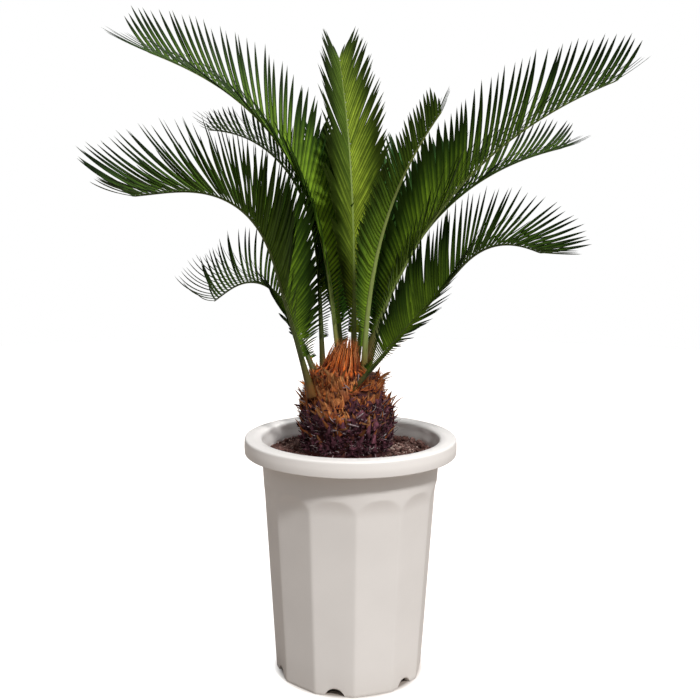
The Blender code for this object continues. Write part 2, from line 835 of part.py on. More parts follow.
def main():
    remove_everything()
    parts = new_collection(OBJECT_NAME)
    cutters = new_collection("cutters")
    spines = {frond.name: frond_spine(frond) for frond in FRONDS}
    stems = [stem_points(frond, spines[frond.name]) for frond in FRONDS]
    make_pot(parts, cutters)
    make_soil(parts, cutters)
    trunk = make_trunk(parts, stems)
    tuft = make_tuft(parts, stems)
    make_fronds(parts, trunk, tuft, spines, cutters)


main()
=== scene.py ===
"""A young sago palm in a white plastic pot, dressed in full detail over its fixed solid model."""

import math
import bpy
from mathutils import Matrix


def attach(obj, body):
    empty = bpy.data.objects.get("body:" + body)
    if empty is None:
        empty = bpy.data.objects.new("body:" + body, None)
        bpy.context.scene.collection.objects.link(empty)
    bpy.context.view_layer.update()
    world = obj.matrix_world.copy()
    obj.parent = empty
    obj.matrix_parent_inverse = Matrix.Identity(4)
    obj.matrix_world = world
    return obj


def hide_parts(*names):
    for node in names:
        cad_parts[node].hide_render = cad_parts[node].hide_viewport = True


bl_info = {
    "name": "Potted Sago Palm",
    "version": (1, 0, 0),
    "blender": (4, 5, 0),
    "location": "3D View > Sidebar > Sago Palm",
    "description": "Builds the pot, soil, trunk, crown and fronds of a potted sago palm",
    "category": "Add Mesh",
}

from collections import namedtuple

import bpy
import numpy as np
from bpy.props import FloatProperty, FloatVectorProperty, IntProperty, PointerProperty
from mathutils import Matrix

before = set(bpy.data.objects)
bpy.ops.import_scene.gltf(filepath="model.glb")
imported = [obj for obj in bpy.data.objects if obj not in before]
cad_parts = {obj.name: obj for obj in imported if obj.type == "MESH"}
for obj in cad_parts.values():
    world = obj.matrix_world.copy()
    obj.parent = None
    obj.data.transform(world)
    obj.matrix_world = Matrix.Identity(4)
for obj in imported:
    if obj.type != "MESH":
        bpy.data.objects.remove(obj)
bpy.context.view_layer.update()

# Named sizes of the solid model, in metres, with angles in radians
FLATS = 12
FLAT_HALF = math.pi / FLATS
FIRST_FLAT = math.radians(-101)
FOOT_RADIUS = 0.0875
WALL_FLARE = 0.062
ARCH_SPRING = 0.213
ARCH_RISE = 0.020
RIM_UNDERSIDE = 0.2645
POT_HEIGHT = 0.284
RIM_RADIUS = 0.124
MOUTH_RADIUS = 0.1035
FLOOR_TOP = 0.0095
FLOOR_RADIUS = 0.080
RECESS_HEIGHT = 0.0065
RECESS_INNER = 0.024
RECESS_OUTER = 0.078
INSIDE_HIGH = (0.0990, 0.236)
INSIDE_LOW = (0.0930, 0.211)
NOTCHES = 6
NOTCH_RADIUS = 0.0125
NOTCH_HEIGHT = 0.0085
DRAIN_RADIUS = 0.005
DRAIN_CIRCLE = 0.052
SOIL_EDGE = 0.2625
SOIL_MOUND = 0.0040
SOIL_RADIUS = 0.1010
SOIL_LUMP = 0.0012
GAP = 0.0003
TRUNK_CENTRE = (-0.005, 0.0)
TRUNK_RADIUS = 0.050
TAPROOT_TIP = 0.120
SCALE_COLUMNS = 16
SCALE_ROWS = 7
SHOULDER_ROWS = 3
SCALE_FROM = 0.2715
SCALE_TO = 0.338
SCALE_OUT = 0.0095
SCALE_UP = 0.0135
CROWN_TOP = 0.358
CROWN_RADIUS = 0.034
TUFT_CENTRE = (-0.0110, -0.0115)
TUFT_RADIUS = 0.0205
TUFT_HEIGHT = 0.046
TUFT_LEAN = 0.007

# Fronds of the solid model: where each stands, its heading and lean in degrees, over which shares
# of it the lean changes, and its length. Then its leaflets: the lift of the right and left rows at
# LIFT_PLACES, their opening and curl, all in degrees, their length, width and share of length left
# at the tip, and the number in a row
Frond = namedtuple(
    "Frond",
    "name foot heading lean bend length right_lift left_lift opening curl leaflet blades",
)
# Lift, opening and curl of the three fronds that show behind
BEHIND = ((45,) * 4, (45,) * 4, (42, 30), (12, 16))
FRONDS = [
    Frond(
        "upper_left", (-0.012, 0.016, 0.349), 165, (7, 70), (0.14, 1.04), 0.488,
        (82, 66, 72, 84), (22, 16, 11, 9), (38, 33), (4, 12), (0.099, 0.0042, 0.74), 66,
    ),
    Frond(
        "left", (-0.044, -0.027, 0.335), 208, (17, 97), (0.40, 0.93), 0.352,
        (102, 92, 62, 78), (-18, 4, 32, 26), (46, 40), (-8, 16), (0.104, 0.0040, 0.76), 90,
    ),
    Frond(
        "back_left", (-0.033, 0.030, 0.344), 152, (3, 97), (0.26, 1.18), 0.384,
        (64, 62, 62, 62), (36, 38, 38, 38), (42, 38), (12, 16), (0.062, 0.0031, 0.62), 66,
    ),
    Frond(
        "low_left", (-0.038, 0.010, 0.345), 152, (27, 124), (0.35, 0.93), 0.218,
        (80, 76, 72, 76), (16, 22, 34, 40), (58, 84), (24, 46), (0.076, 0.0030, 0.86), 50,
    ),
    Frond(
        "centre", (0.003, 0.016, 0.349), 100, (0, 41), (0.09, 1.06), 0.414,
        (50, 50, 50, 50), (50, 50, 50, 50), (44, 30), (10, 14), (0.088, 0.0046, 0.60), 74,
    ),
    Frond(
        "right_centre", (0.0145, -0.012, 0.346), -58, (1, 60), (-0.10, 1.30), 0.342,
        (36, 36, 36, 40), (50, 54, 60, 64), (42, 34), (4, 8), (0.042, 0.0036, 1.00), 70,
    ),
    Frond(
        "upper_right", (0.0075, 0.0065, 0.349), -12, (19, 76), (0.00, 1.28), 0.456,
        (12, 12, 12, 12), (92, 86, 82, 80), (44, 38), (4, 10), (0.098, 0.0050, 0.60), 68,
    ),
    Frond(
        "right", (0.015, 0.015, 0.349), 15, (14, 81), (-0.01, 1.16), 0.394,
        (30, 20, 16, 12), (60, 62, 64, 68), (40, 31), (6, 16), (0.074, 0.0036, 0.70), 62,
    ),
    Frond(
        "low_right", (-0.003, -0.037, 0.338), -23, (41, 112), (0.64, 1.01), 0.290,
        (-30, -28, -4, 38), (100, 94, 88, 84), (50, 32), (-12, 4), (0.078, 0.0036, 0.74), 80,
    ),
    Frond(
        "back_1", (-0.010, 0.029, 0.349), 112, (12, 30), (0.20, 1.00), 0.300,
        *BEHIND, (0.078, 0.0042, 0.50), 46,
    ),
    Frond(
        "back_2", (0.004, 0.031, 0.347), 62, (18, 38), (0.20, 1.00), 0.300,
        *BEHIND, (0.078, 0.0042, 0.50), 46,
    ),
    Frond(
        "back_3", (0.017, 0.027, 0.348), 46, (22, 46), (0.20, 1.00), 0.310,
        *BEHIND, (0.080, 0.0060, 0.60), 46,
    ),
]
LIFT_PLACES = (0.0, 0.25, 0.5, 1.0)
RIB_WIDTH = (0.0074, 0.0014)
RIB_DEPTH = (0.0062, 0.0014)
SPINE_STEPS = 240

# Shares of a midrib where its leaflets begin and end, and where they outgrow the prickles
LEAFLETS_FROM = 0.13
LEAFLETS_TO = 0.996
FULL_FROM = 0.17
FULL_SPAN = 0.825
SWELL_LENGTH = 0.028
# How pale a midrib is, how much its foot swells and how much its last leaflets shrink, where a
# frond differs from the rest
RIB_PALENESS = {"right_centre": 1.0, "left": 0.25, "low_left": 0.2, "low_right": 0.05, "back_left": 0.15}
FOOT_SWELL = {"left": 1.0, "low_right": 0.15}
TIP_SHRINK = {"upper_right": 0.2, "upper_left": 0.3, "low_right": 0.1, "left": 0.15}

# How near growth on the trunk and the tuft may come to a midrib's bare lowest stretch
BARE_STEM = 0.060
HELD_BACK_FROM = 0.0045
HELD_BACK_SPAN = 0.004
STUB_CLEAR = 0.009
TATTER_CLEAR = 0.006
STRAP_CLEAR = 0.0042

# How much wider the tuft is on the left, and the share of a turn between one strap and the next
TUFT_SPREAD = 0.14
GOLDEN_SHARE = 0.381966

# The stage: lens and sensor in millimetres, the camera's turns and the lights' spreads in degrees,
# where the lights are, and how the brightness of the surroundings runs over their height
CAMERA_LENS = 51.43
SENSOR_WIDTH = 36
CAMERA_PLACE = (-0.0014, -1.147, 0.5495)
CAMERA_PITCH = 8.2
CAMERA_ROLL = 0.4
FLOOR_REACH = 3.0
KEY_FROM = (0.33, -0.60, 0.73)
KEY_SPREAD = 7
BACK_FROM = (0.35, 0.8, 1.0)
BACK_SPREAD = 40
SHADE_HEIGHTS = (0.02, 1.1)
SHADE_LEAN = 0.15
UP = np.array((0.0, 0.0, 1.0))


# Numbers


def unit(vectors):
    """Each vector divided by its own length."""
    return vectors / np.maximum(np.linalg.norm(vectors, axis=-1, keepdims=True), 1e-12)


def smoothstep(value):
    """0 to 1 along 3v² - 2v³, with v held between 0 and 1."""
    value = np.clip(value, 0.0, 1.0)
    return value * value * (3 - 2 * value)


def mix(low, high, share):
    """The value at a share of the way from low to high."""
    return low + (high - low) * share


def dot(a, b):
    """Dot product over the last axis, which is kept."""
    return np.sum(a * b, axis=-1, keepdims=True)


def full_circle(count):
    """Angles spaced evenly round a circle, the first of them 0."""
    return np.arange(count) * 2 * math.pi / count


def level_out(angle):
    """Level vectors of length 1 at the angles."""
    return np.stack([np.cos(angle), np.sin(angle), np.zeros_like(angle)], axis=-1)


def polar(angle, radius, height, centre=(0.0, 0.0)):
    """Points at angles, distances and heights about an upright axis."""
    x = centre[0] + radius * np.cos(angle)
    return np.stack([x, centre[1] + radius * np.sin(angle), np.broadcast_to(height, x.shape)], axis=-1)


def lumps(x, y, pitch, seed, layers=9):
    """Smooth unevenness between about -1 and 1: the mean of sine waves that run in seeded
    directions with wavelengths near the pitch."""
    draw = np.random.default_rng(seed)
    total = np.zeros_like(x)
    for heading, stretch, phase in zip(
        draw.uniform(0, 2 * math.pi, layers), draw.uniform(0.7, 1.6, layers), draw.uniform(0, 6.3, layers)
    ):
        wave = 2 * math.pi / (pitch * stretch)
        total += np.sin(wave * (x * math.cos(heading) + y * math.sin(heading)) + phase)
    return total / math.sqrt(layers)


def grid_quads(rows, columns):
    """Corners of the quads of a grid whose last column meets its first."""
    row, column = np.mgrid[0 : rows - 1, 0:columns]
    after = (column + 1) % columns
    low = row * columns
    high = low + columns
    return np.stack([low + column, low + after, high + after, high + column], axis=-1).reshape(-1, 4)


def pole_triangles(rows, columns):
    """Triangles that close a tube's two ends on the two poles that follow its rings."""
    column = np.arange(columns)
    after = (column + 1) % columns
    last = (rows - 1) * columns
    start = np.stack([np.full(columns, rows * columns), after, column], axis=-1)
    end = np.stack([last + column, last + after, np.full(columns, rows * columns + 1)], axis=-1)
    return np.concatenate([start, end])


# Meshes


class Skin:
    """Gathers the vertices and faces of one piece. Each vertex keeps a grain of three numbers
    (across, along, tone) and one more, its side: 1 on an upper face, 0 on a lower one."""

    def __init__(self):
        self.parts = []
        self.total = 0

    def add(self, points, grain, side, quads, triangles, slot=0):
        """Take in vertices with what they keep, and faces that count from the first of them."""
        slots = [np.full(len(faces), slot) for faces in (quads, triangles)]
        self.parts.append((points, grain, side, quads + self.total, triangles + self.total, *slots))
        self.total += len(points)

    def build(self, name, materials, crease=None):
        """The piece's object, smooth-shaded, with edges sharper than crease (in degrees) kept."""
        mesh = bpy.data.meshes.new(name)
        points, grains, sides, quads, triangles, *slots = map(np.concatenate, zip(*self.parts))
        mesh.from_pydata(points.tolist(), [], quads.tolist() + triangles.tolist())
        slots = np.concatenate(slots).astype(np.int32)
        mesh.polygons.foreach_set("material_index", slots)
        mesh.polygons.foreach_set("use_smooth", np.ones(len(slots), dtype=bool))
        grain = mesh.attributes.new("grain", "FLOAT_VECTOR", "POINT")
        grain.data.foreach_set("vector", grains.astype(np.float32).ravel())
        side = mesh.attributes.new("side", "FLOAT", "POINT")
        side.data.foreach_set("value", sides.astype(np.float32))
        if crease is not None:
            mesh.set_sharp_from_angle(angle=math.radians(crease))
        mesh.update()
        mesh.validate()
        for material in materials:
            mesh.materials.append(material)
        item = bpy.data.objects.new(name, mesh)
        bpy.context.scene.collection.objects.link(item)
        return item


def loft(skin, path, across, face, width, thickness, section, tone, slot=0, pointed=False):
    """Closed blades, one for each path.

    A ring with the section's points (x, y) stands at each station of a path, at
    path + across * width * x + face * thickness * y. The last station is the blade's point. The
    first is a flat end, or a point too where pointed is set. Across, face and the way along the
    path make a right-handed frame, and the section runs counter-clockwise."""
    first = 1 if pointed else 0
    rings = slice(first, path.shape[1] - 1)
    count = path.shape[0]
    stations = path.shape[1] - 1 - first
    sides = len(section)
    x = (width[:, rings, None] * section[:, 0])[..., None]
    y = (thickness[:, rings, None] * section[:, 1])[..., None]
    body = path[:, rings, None] + across[:, rings, None] * x + face[:, rings, None] * y
    points = np.concatenate([body.reshape(count, -1, 3), path[:, :1], path[:, -1:]], axis=1)

    along = np.linspace(0, 1, path.shape[1])
    grain = np.zeros((count, stations * sides + 2, 3))
    grain[:, :-2, 0] = np.tile(section[:, 0], stations)
    grain[:, :-2, 1] = np.repeat(along[rings], sides)
    grain[:, -1, 1] = 1.0
    grain[:, :, 2] = tone[:, None]
    side = np.zeros((count, stations * sides + 2))
    side[:, :-2] = np.tile(np.where(section[:, 1] >= -0.3, 1.0, 0.0), stations)
    side[:, -1] = 0.5

    offsets = np.arange(count)[:, None, None] * (stations * sides + 2)
    quads = (grid_quads(stations, sides)[None] + offsets).reshape(-1, 4)
    triangles = (pole_triangles(stations, sides)[None] + offsets).reshape(-1, 3)
    skin.add(points.reshape(-1, 3), grain.reshape(-1, 3), side.ravel(), quads, triangles, slot)


def all_round(profile, columns):
    """Grids of radius and height by angle from a profile of such pairs, the same all round."""
    return profile[:, :1] * np.ones(columns), profile[:, 1:] * np.ones(columns)


def turned(skin, radius, height, centre=(0.0, 0.0), slot=0, tone=0.5):
    """A closed skin round a vertical axis. Radius and height are grids of stations by angles: they
    run from the bottom pole out, up the outside and back to the axis, where the top pole closes it."""
    rows, columns = radius.shape
    angles = full_circle(columns)
    rings = polar(angles, radius, height, centre).reshape(-1, 3)
    poles = np.array([(centre[0], centre[1], height[0].min()), (centre[0], centre[1], height[-1].max())])
    points = np.concatenate([rings, poles])
    grain = np.zeros((len(points), 3))
    grain[:-2, 0] = np.tile(angles / (2 * math.pi), rows)
    grain[:-2, 1] = np.repeat(np.linspace(0, 1, rows), columns)
    grain[-1, 1] = 1.0
    grain[:, 2] = tone
    side = np.ones(len(points))
    skin.add(points, grain, side, grid_quads(rows, columns), pole_triangles(rows, columns), slot)


def fillet_profile(corners, steps=6):
    """A profile of (radius, height) points through corners (radius, height, fillet). Each fillet is
    a quadratic arc that leaves the corner by its own length along both of its sides."""
    points = []
    for k, (r, z, cut) in enumerate(corners):
        here = np.array((r, z))
        if cut == 0 or k in (0, len(corners) - 1):
            points.append(here[None])
            continue
        before = here + unit(np.array(corners[k - 1][:2]) - here) * cut
        after = here + unit(np.array(corners[k + 1][:2]) - here) * cut
        t = np.linspace(0, 1, steps)[:, None]
        points.append(before * (1 - t) ** 2 + here * 2 * t * (1 - t) + after * t**2)
    return np.concatenate(points)


def bent_paths(start, middle, end, stations):
    """Quadratic curves from start to end, drawn towards middle."""
    t = np.linspace(0, 1, stations)[None, :, None]
    return start[:, None] * (1 - t) ** 2 + middle[:, None] * 2 * t * (1 - t) + end[:, None] * t**2


def path_frames(path, outward):
    """Across and face vectors along the paths: face is outward, squared to the path's own way, and
    across, face and that way are right-handed."""
    way = unit(np.gradient(path, axis=1))
    face = unit(outward - way * dot(outward, way))
    return np.cross(face, way), face


def loft_by_slot(skin, slots, path, across, face, width, thickness, section, tone):
    """Blades that don't share a material: slots tells which one each of them takes."""
    for slot in np.unique(slots):
        some = slots == slot
        size = (width[some], thickness[some])
        loft(skin, path[some], across[some], face[some], *size, section, tone[some], slot)


def strands(skin, draw, path, outward, girth, outline, section, flatness, tones, slot):
    """Blades along the paths, facing outward. The girth and the tone of each are drawn from their
    spans, the outline tells how the girth runs, and the flatness is thickness against width."""
    across, face = path_frames(path, outward)
    width = draw.uniform(*girth, (len(path), 1)) * np.array(outline)
    tone = draw.uniform(*tones, len(path))
    loft(skin, path, across, face, width, width * flatness, section, tone, slot)


# Sections of blades, as (x, y) points counter-clockwise
LEAF_SECTION = np.array([(1, -0.25), (0.55, 0.5), (0, 0.22), (-0.55, 0.5), (-1, -0.25), (0, -0.85)])
SCALE_SECTION = np.array([(1, 0), (0.6, 0.8), (0.15, 1.0), (-0.3, 0.85), (-0.7, 0.6), (-1, 0), (0, -0.8)])
STRAP_SECTION = np.array([(1, 0), (0.45, 0.75), (-0.2, 1.0), (-1, 0), (-0.1, -0.6)])
HAIR_SECTION = np.array([(1, 0), (-0.5, 0.87), (-0.5, -0.87)])
ROUND_SECTION = level_out(full_circle(12))[:, :2]
CRUMB_SECTION = np.array([(1, 0.1), (0.4, 0.9), (-0.6, 0.8), (-1, -0.2), (-0.3, -0.9), (0.6, -0.7)])


# Materials


class Nodes:
    """A node tree, with short calls that add a node and link it."""

    def __init__(self, owner):
        owner.use_nodes = True
        self.nodes = owner.node_tree.nodes
        self.links = owner.node_tree.links

    def feed(self, socket, value):
        """Link a node's output to a socket, or set the socket to a plain value."""
        if isinstance(value, bpy.types.NodeSocket):
            self.links.new(value, socket)
        else:
            socket.default_value = value

    def add(self, kind, output=0, **inputs):
        """Add a node, feed its inputs by name (with _ for a space) and give one of its outputs."""
        node = self.nodes.new("ShaderNode" + kind)
        for name, value in inputs.items():
            self.feed(node.inputs[name.replace("_", " ")], value)
        return node.outputs[output]

    def parts(self, vector):
        """The three numbers of a vector."""
        node = self.nodes.new("ShaderNodeSeparateXYZ")
        self.links.new(vector, node.inputs[0])
        return tuple(node.outputs)

    def math(self, operation, *values):
        node = self.nodes.new("ShaderNodeMath")
        node.operation = operation
        for socket, value in zip(node.inputs, values):
            self.feed(socket, value)
        return node.outputs[0]

    def span(self, value, low, high, to_low=0.0, to_high=1.0):
        """The value carried from one span to another and held inside it."""
        ends = {"From_Min": low, "From_Max": high, "To_Min": to_low, "To_Max": to_high}
        return self.add("MapRange", Value=value, **ends)


class Finish(Nodes):
    """A Principled material, with calls for its textures."""

    def __init__(self, name, roughness, specular=0.5, coat=0.0, coat_roughness=0.1):
        self.material = bpy.data.materials.new(name)
        super().__init__(self.material)
        self.shader = self.nodes["Principled BSDF"]
        self.shader.inputs["Roughness"].default_value = roughness
        self.shader.inputs["Specular IOR Level"].default_value = specular
        self.shader.inputs["Coat Weight"].default_value = coat
        self.shader.inputs["Coat Roughness"].default_value = coat_roughness

    def position(self):
        """The place on the object."""
        return self.add("TexCoord", "Object")

    def kept(self, name, output):
        """A number or vector that the mesh keeps at its vertices."""
        node = self.nodes.new("ShaderNodeAttribute")
        node.attribute_name = name
        return node.outputs[output]

    def grain(self):
        """The kept numbers as three outputs: across, along and tone."""
        return self.parts(self.kept("grain", "Vector"))

    def stretched(self, vector, scale):
        return self.add("Mapping", Vector=vector, Scale=scale)

    def noise(self, vector, scale, detail=3.0, roughness=0.55):
        return self.add("TexNoise", "Fac", Vector=vector, Scale=scale, Detail=detail, Roughness=roughness)

    def ramp(self, factor, stops):
        """A colour ramp through (place, colour) stops."""
        node = self.nodes.new("ShaderNodeValToRGB")
        elements = node.color_ramp.elements
        elements[0].position, elements[0].color = stops[0][0], (*stops[0][1], 1)
        elements[1].position, elements[1].color = stops[-1][0], (*stops[-1][1], 1)
        for place, colour in stops[1:-1]:
            elements.new(place).color = (*colour, 1)
        self.feed(node.inputs["Fac"], factor)
        return node.outputs["Color"]

    def blend(self, factor, a, b, kind="MIX"):
        node = self.nodes.new("ShaderNodeMix")
        node.data_type = "RGBA"
        node.blend_type = kind
        self.feed(node.inputs["Factor"], factor)
        for socket, value in ((node.inputs[6], a), (node.inputs[7], b)):
            self.feed(socket, value if isinstance(value, bpy.types.NodeSocket) else (*value, 1))
        return node.outputs[2]

    def bump(self, height, strength, distance, **under):
        """A normal with the height on it, and the bump named Normal beneath where it is given."""
        return self.add("Bump", Height=height, Strength=strength, Distance=distance, **under)

    def finish(self, colour, roughness=None, normal=None):
        """Feed the shader and give the material."""
        for name, value in (("Base Color", colour), ("Roughness", roughness), ("Normal", normal)):
            if value is not None:
                self.feed(self.shader.inputs[name], value)
        return self.material


def tinted(colour, factor):
    """A colour made lighter or darker by a factor."""
    return tuple(min(1.0, channel * factor) for channel in colour)


def pot_plastic(settings):
    """Satin white plastic, painted lighter on the rim as a painted highlight, with faint mottling,
    handling marks and a little dust at the foot."""
    colour = tuple(settings.plastic)
    made = Finish("pot_plastic", settings.roughness, coat=0.12, coat_roughness=0.22)
    place = made.position()
    cloud = made.noise(place, 14, 4)
    base = made.ramp(cloud, [(0.3, tinted(colour, 0.97)), (0.7, tinted(colour, 1.02))])
    height = made.parts(place)[2]
    # Painted highlight: the rim is blended towards a lighter white for the light that it catches.
    rim = made.span(height, RIM_UNDERSIDE, RIM_UNDERSIDE + 0.01)
    base = made.blend(rim, base, tinted(colour, 1.12))
    low = made.span(height, 0.0, 0.035, 1.0, 0.0)
    dust = made.math("MULTIPLY", low, made.noise(place, 55, 5, 0.65))
    base = made.blend(made.math("MULTIPLY", dust, 0.22), base, (0.50, 0.43, 0.35))
    scuffs = made.noise(made.stretched(place, (60, 60, 9)), 5, 4, 0.7)
    roughness = made.span(scuffs, 0.3, 0.75, settings.roughness - 0.05, settings.roughness + 0.10)
    ripple = made.noise(place, 22, 2)
    grit = made.noise(place, 900, 2)
    normal = made.bump(ripple, 0.25, 0.0012)
    return made.finish(base, roughness, made.bump(grit, 0.12, 0.0002, Normal=normal))


def potting_mix(name, dark, light, pale):
    """Crumbly soil: dark grains, browner ones and a few pale ones, all rough."""
    made = Finish(name, 0.95, specular=0.2)
    place = made.position()
    tone = made.grain()[2]
    fine = made.noise(place, 420, 5, 0.7)
    colour = made.ramp(fine, [(0.32, tinted(dark, 0.5)), (0.5, dark), (0.62, light), (0.74, pale)])
    patch = made.noise(place, 38, 3)
    colour = made.blend(made.span(patch, 0.35, 0.65), colour, tinted(light, 0.9), "MULTIPLY")
    colour = made.blend(made.span(tone, 0.6, 1.0), colour, made.blend(fine, light, pale))
    normal = made.bump(made.noise(place, 650, 5, 0.75), 0.8, 0.0012)
    return made.finish(colour, normal=made.bump(patch, 0.4, 0.003, Normal=normal))


def bark_fibre(name, root, middle, tip, fuzz, rough=0.8):
    """Dry leaf bases and straps: colour runs from root to tip, in streaks along the fibre. The dark
    root is the fibre's own darker foot deepened as painted shade where the pieces tuck under one
    another, and the margins are darkened as painted shade between neighbouring pieces.
    """
    made = Finish(name, rough, specular=0.12)
    place = made.position()
    across, along, tone = made.grain()
    # The root end: the fibre's own darker foot, deepened as painted shade where pieces overlap.
    run = made.ramp(along, [(0.0, root), (0.45, middle), (0.9, tip)])
    streak = made.noise(made.stretched(place, (1, 1, 0.16)), 700, 4, 0.7)
    shaded = made.blend(made.span(streak, 0.3, 0.7, 0.68, 0.0), run, tinted(root, 0.35))
    spots = made.noise(place, 190, 4, 0.65)
    shaded = made.blend(made.span(spots, 0.52, 0.72, 0.0, 0.75), shaded, fuzz)
    toned = made.blend(made.span(tone, 0.0, 1.0, 0.85, 0.0), shaded, tinted(root, 0.45))
    # Painted shade: each piece darkens along its margins, where its neighbours shade it.
    edge_shade = made.span(made.math("ABSOLUTE", across), 0.5, 1.0, 0.0, 0.8)
    toned = made.blend(edge_shade, toned, tinted(root, 0.3))
    normal = made.bump(streak, 0.7, 0.0009)
    return made.finish(toned, normal=made.bump(spots, 0.4, 0.0012, Normal=normal))


def hair_fibre(name, dark, light):
    """Fine hairs: each has its own tone between two colours."""
    made = Finish(name, 0.8, specular=0.12)
    tone = made.grain()[2]
    return made.finish(made.ramp(tone, [(0.0, dark), (0.6, mix_colour(dark, light, 0.6)), (1.0, light)]))


def mix_colour(a, b, share):
    """A colour between two others."""
    return tuple(mix(x, y, share) for x, y in zip(a, b))


def leaf_green(name, deep, bright, under, glow):
    """Satin leaflets: deep green above, another green below, brighter towards the foot and darkened
    towards the tip as painted shade. A paler vein is lifted by a painted highlight, the margins are
    darkened as painted shade where leaflets overlap, and each leaflet is multiplied by a shade from
    its own tone, which carries painted shade and painted light; glow is the colour right at the foot."""
    made = Finish(name, 0.50, specular=0.06)
    place = made.position()
    across, along, tone = made.grain()
    side = made.kept("side", "Fac")
    near = [(0.0, glow), (0.12, bright), (0.34, mix_colour(bright, deep, 0.55))]
    # Painted shade: the outer part of each leaflet darkens towards its tip.
    far = [(0.52, deep), (0.72, tinted(deep, 0.32)), (1.0, tinted(deep, 0.20))]
    body = made.ramp(along, near + far)
    off_middle = made.math("ABSOLUTE", across)
    # The leaflet's paler midvein, lightened further as a painted highlight.
    vein_and_highlight = made.span(off_middle, 0.0, 0.4, 0.9, 0.0)
    vein_and_highlight = made.math("MULTIPLY", vein_and_highlight, made.span(along, 0.2, 0.65, 1.0, 0.0))
    body = made.blend(vein_and_highlight, body, tinted(bright, 1.8))
    # Painted shade and light: the tone darkens outer leaflets and lightens those near the midrib.
    shades = made.ramp(tone, [(0.0, (0.30, 0.36, 0.36)), (0.5, (0.70, 0.71, 0.60)), (1.0, (1.5, 1.42, 1.0))])
    body = made.blend(1.0, body, shades, "MULTIPLY")
    # Painted shade: darker margins where one leaflet overlaps the next.
    edge_shade = made.span(off_middle, 0.6, 1.0, 0.0, 0.85)
    body = made.blend(edge_shade, body, tinted(deep, 0.3))
    cloud = made.noise(place, 60, 3)
    body = made.blend(made.span(cloud, 0.4, 0.7, 0.0, 0.5), body, tinted(deep, 0.6))
    body = made.blend(made.span(side, 0.0, 1.0, 0.6, 0.0), body, under)
    normal = made.bump(made.noise(place, 900, 2), 0.12, 0.0003)
    return made.finish(body, made.span(cloud, 0.3, 0.7, 0.40, 0.54), normal)


def rib_green(name, wool, olive, bright):
    """Midribs: orange wool at the foot, olive above it, and yellow-green towards the tip."""
    made = Finish(name, 0.48, specular=0.2)
    along, tone = made.grain()[1:]
    woolly = [(0.0, tinted(wool, 0.4)), (0.030, tinted(wool, 0.5))]
    between = (0.065, mix_colour(tinted(wool, 0.5), tinted(olive, 0.6), 0.6))
    green = [(0.16, tinted(olive, 0.8)), (0.45, bright), (1.0, tinted(bright, 0.8))]
    colour = made.ramp(along, [*woolly, between, *green])
    streak = made.noise(made.stretched(made.position(), (1, 1, 0.2)), 420, 3)
    colour = made.blend(made.span(streak, 0.35, 0.7, 0.0, 0.4), colour, tinted(olive, 0.45))
    colour = made.blend(made.span(tone, 0.0, 0.9, 0.85, 0.0), colour, tinted(olive, 0.22))
    return made.finish(colour, normal=made.bump(streak, 0.35, 0.0005))


# Pot


def smooth_least(values, softness):
    """The least of several arrays with its corners rounded: -s·ln of the sum of e^(-v/s)."""
    return -softness * np.log(sum(np.exp(-value / softness) for value in values))


def wall_reach(angles, height, softness):
    """Outside of the wall as a grid of stations by angles: the round taper or the flats, whichever
    is further in, with rounded edges. A flat's half width shrinks along an ellipse in the arch."""
    rise = np.clip((height - ARCH_SPRING) / ARCH_RISE, 0.0, 1.0)
    half = FLAT_HALF * np.sqrt(1 - rise**2)
    from_middle = (angles - FIRST_FLAT + FLAT_HALF) % (2 * FLAT_HALF) - FLAT_HALF
    flats = [
        np.cos(half) / np.maximum(np.cos(from_middle + turn), 0.2)
        for turn in (-2 * FLAT_HALF, 0.0, 2 * FLAT_HALF)
    ]
    least = smooth_least([np.ones_like(half * from_middle)] + flats, softness)
    return (FOOT_RADIUS + WALL_FLARE * height) * least


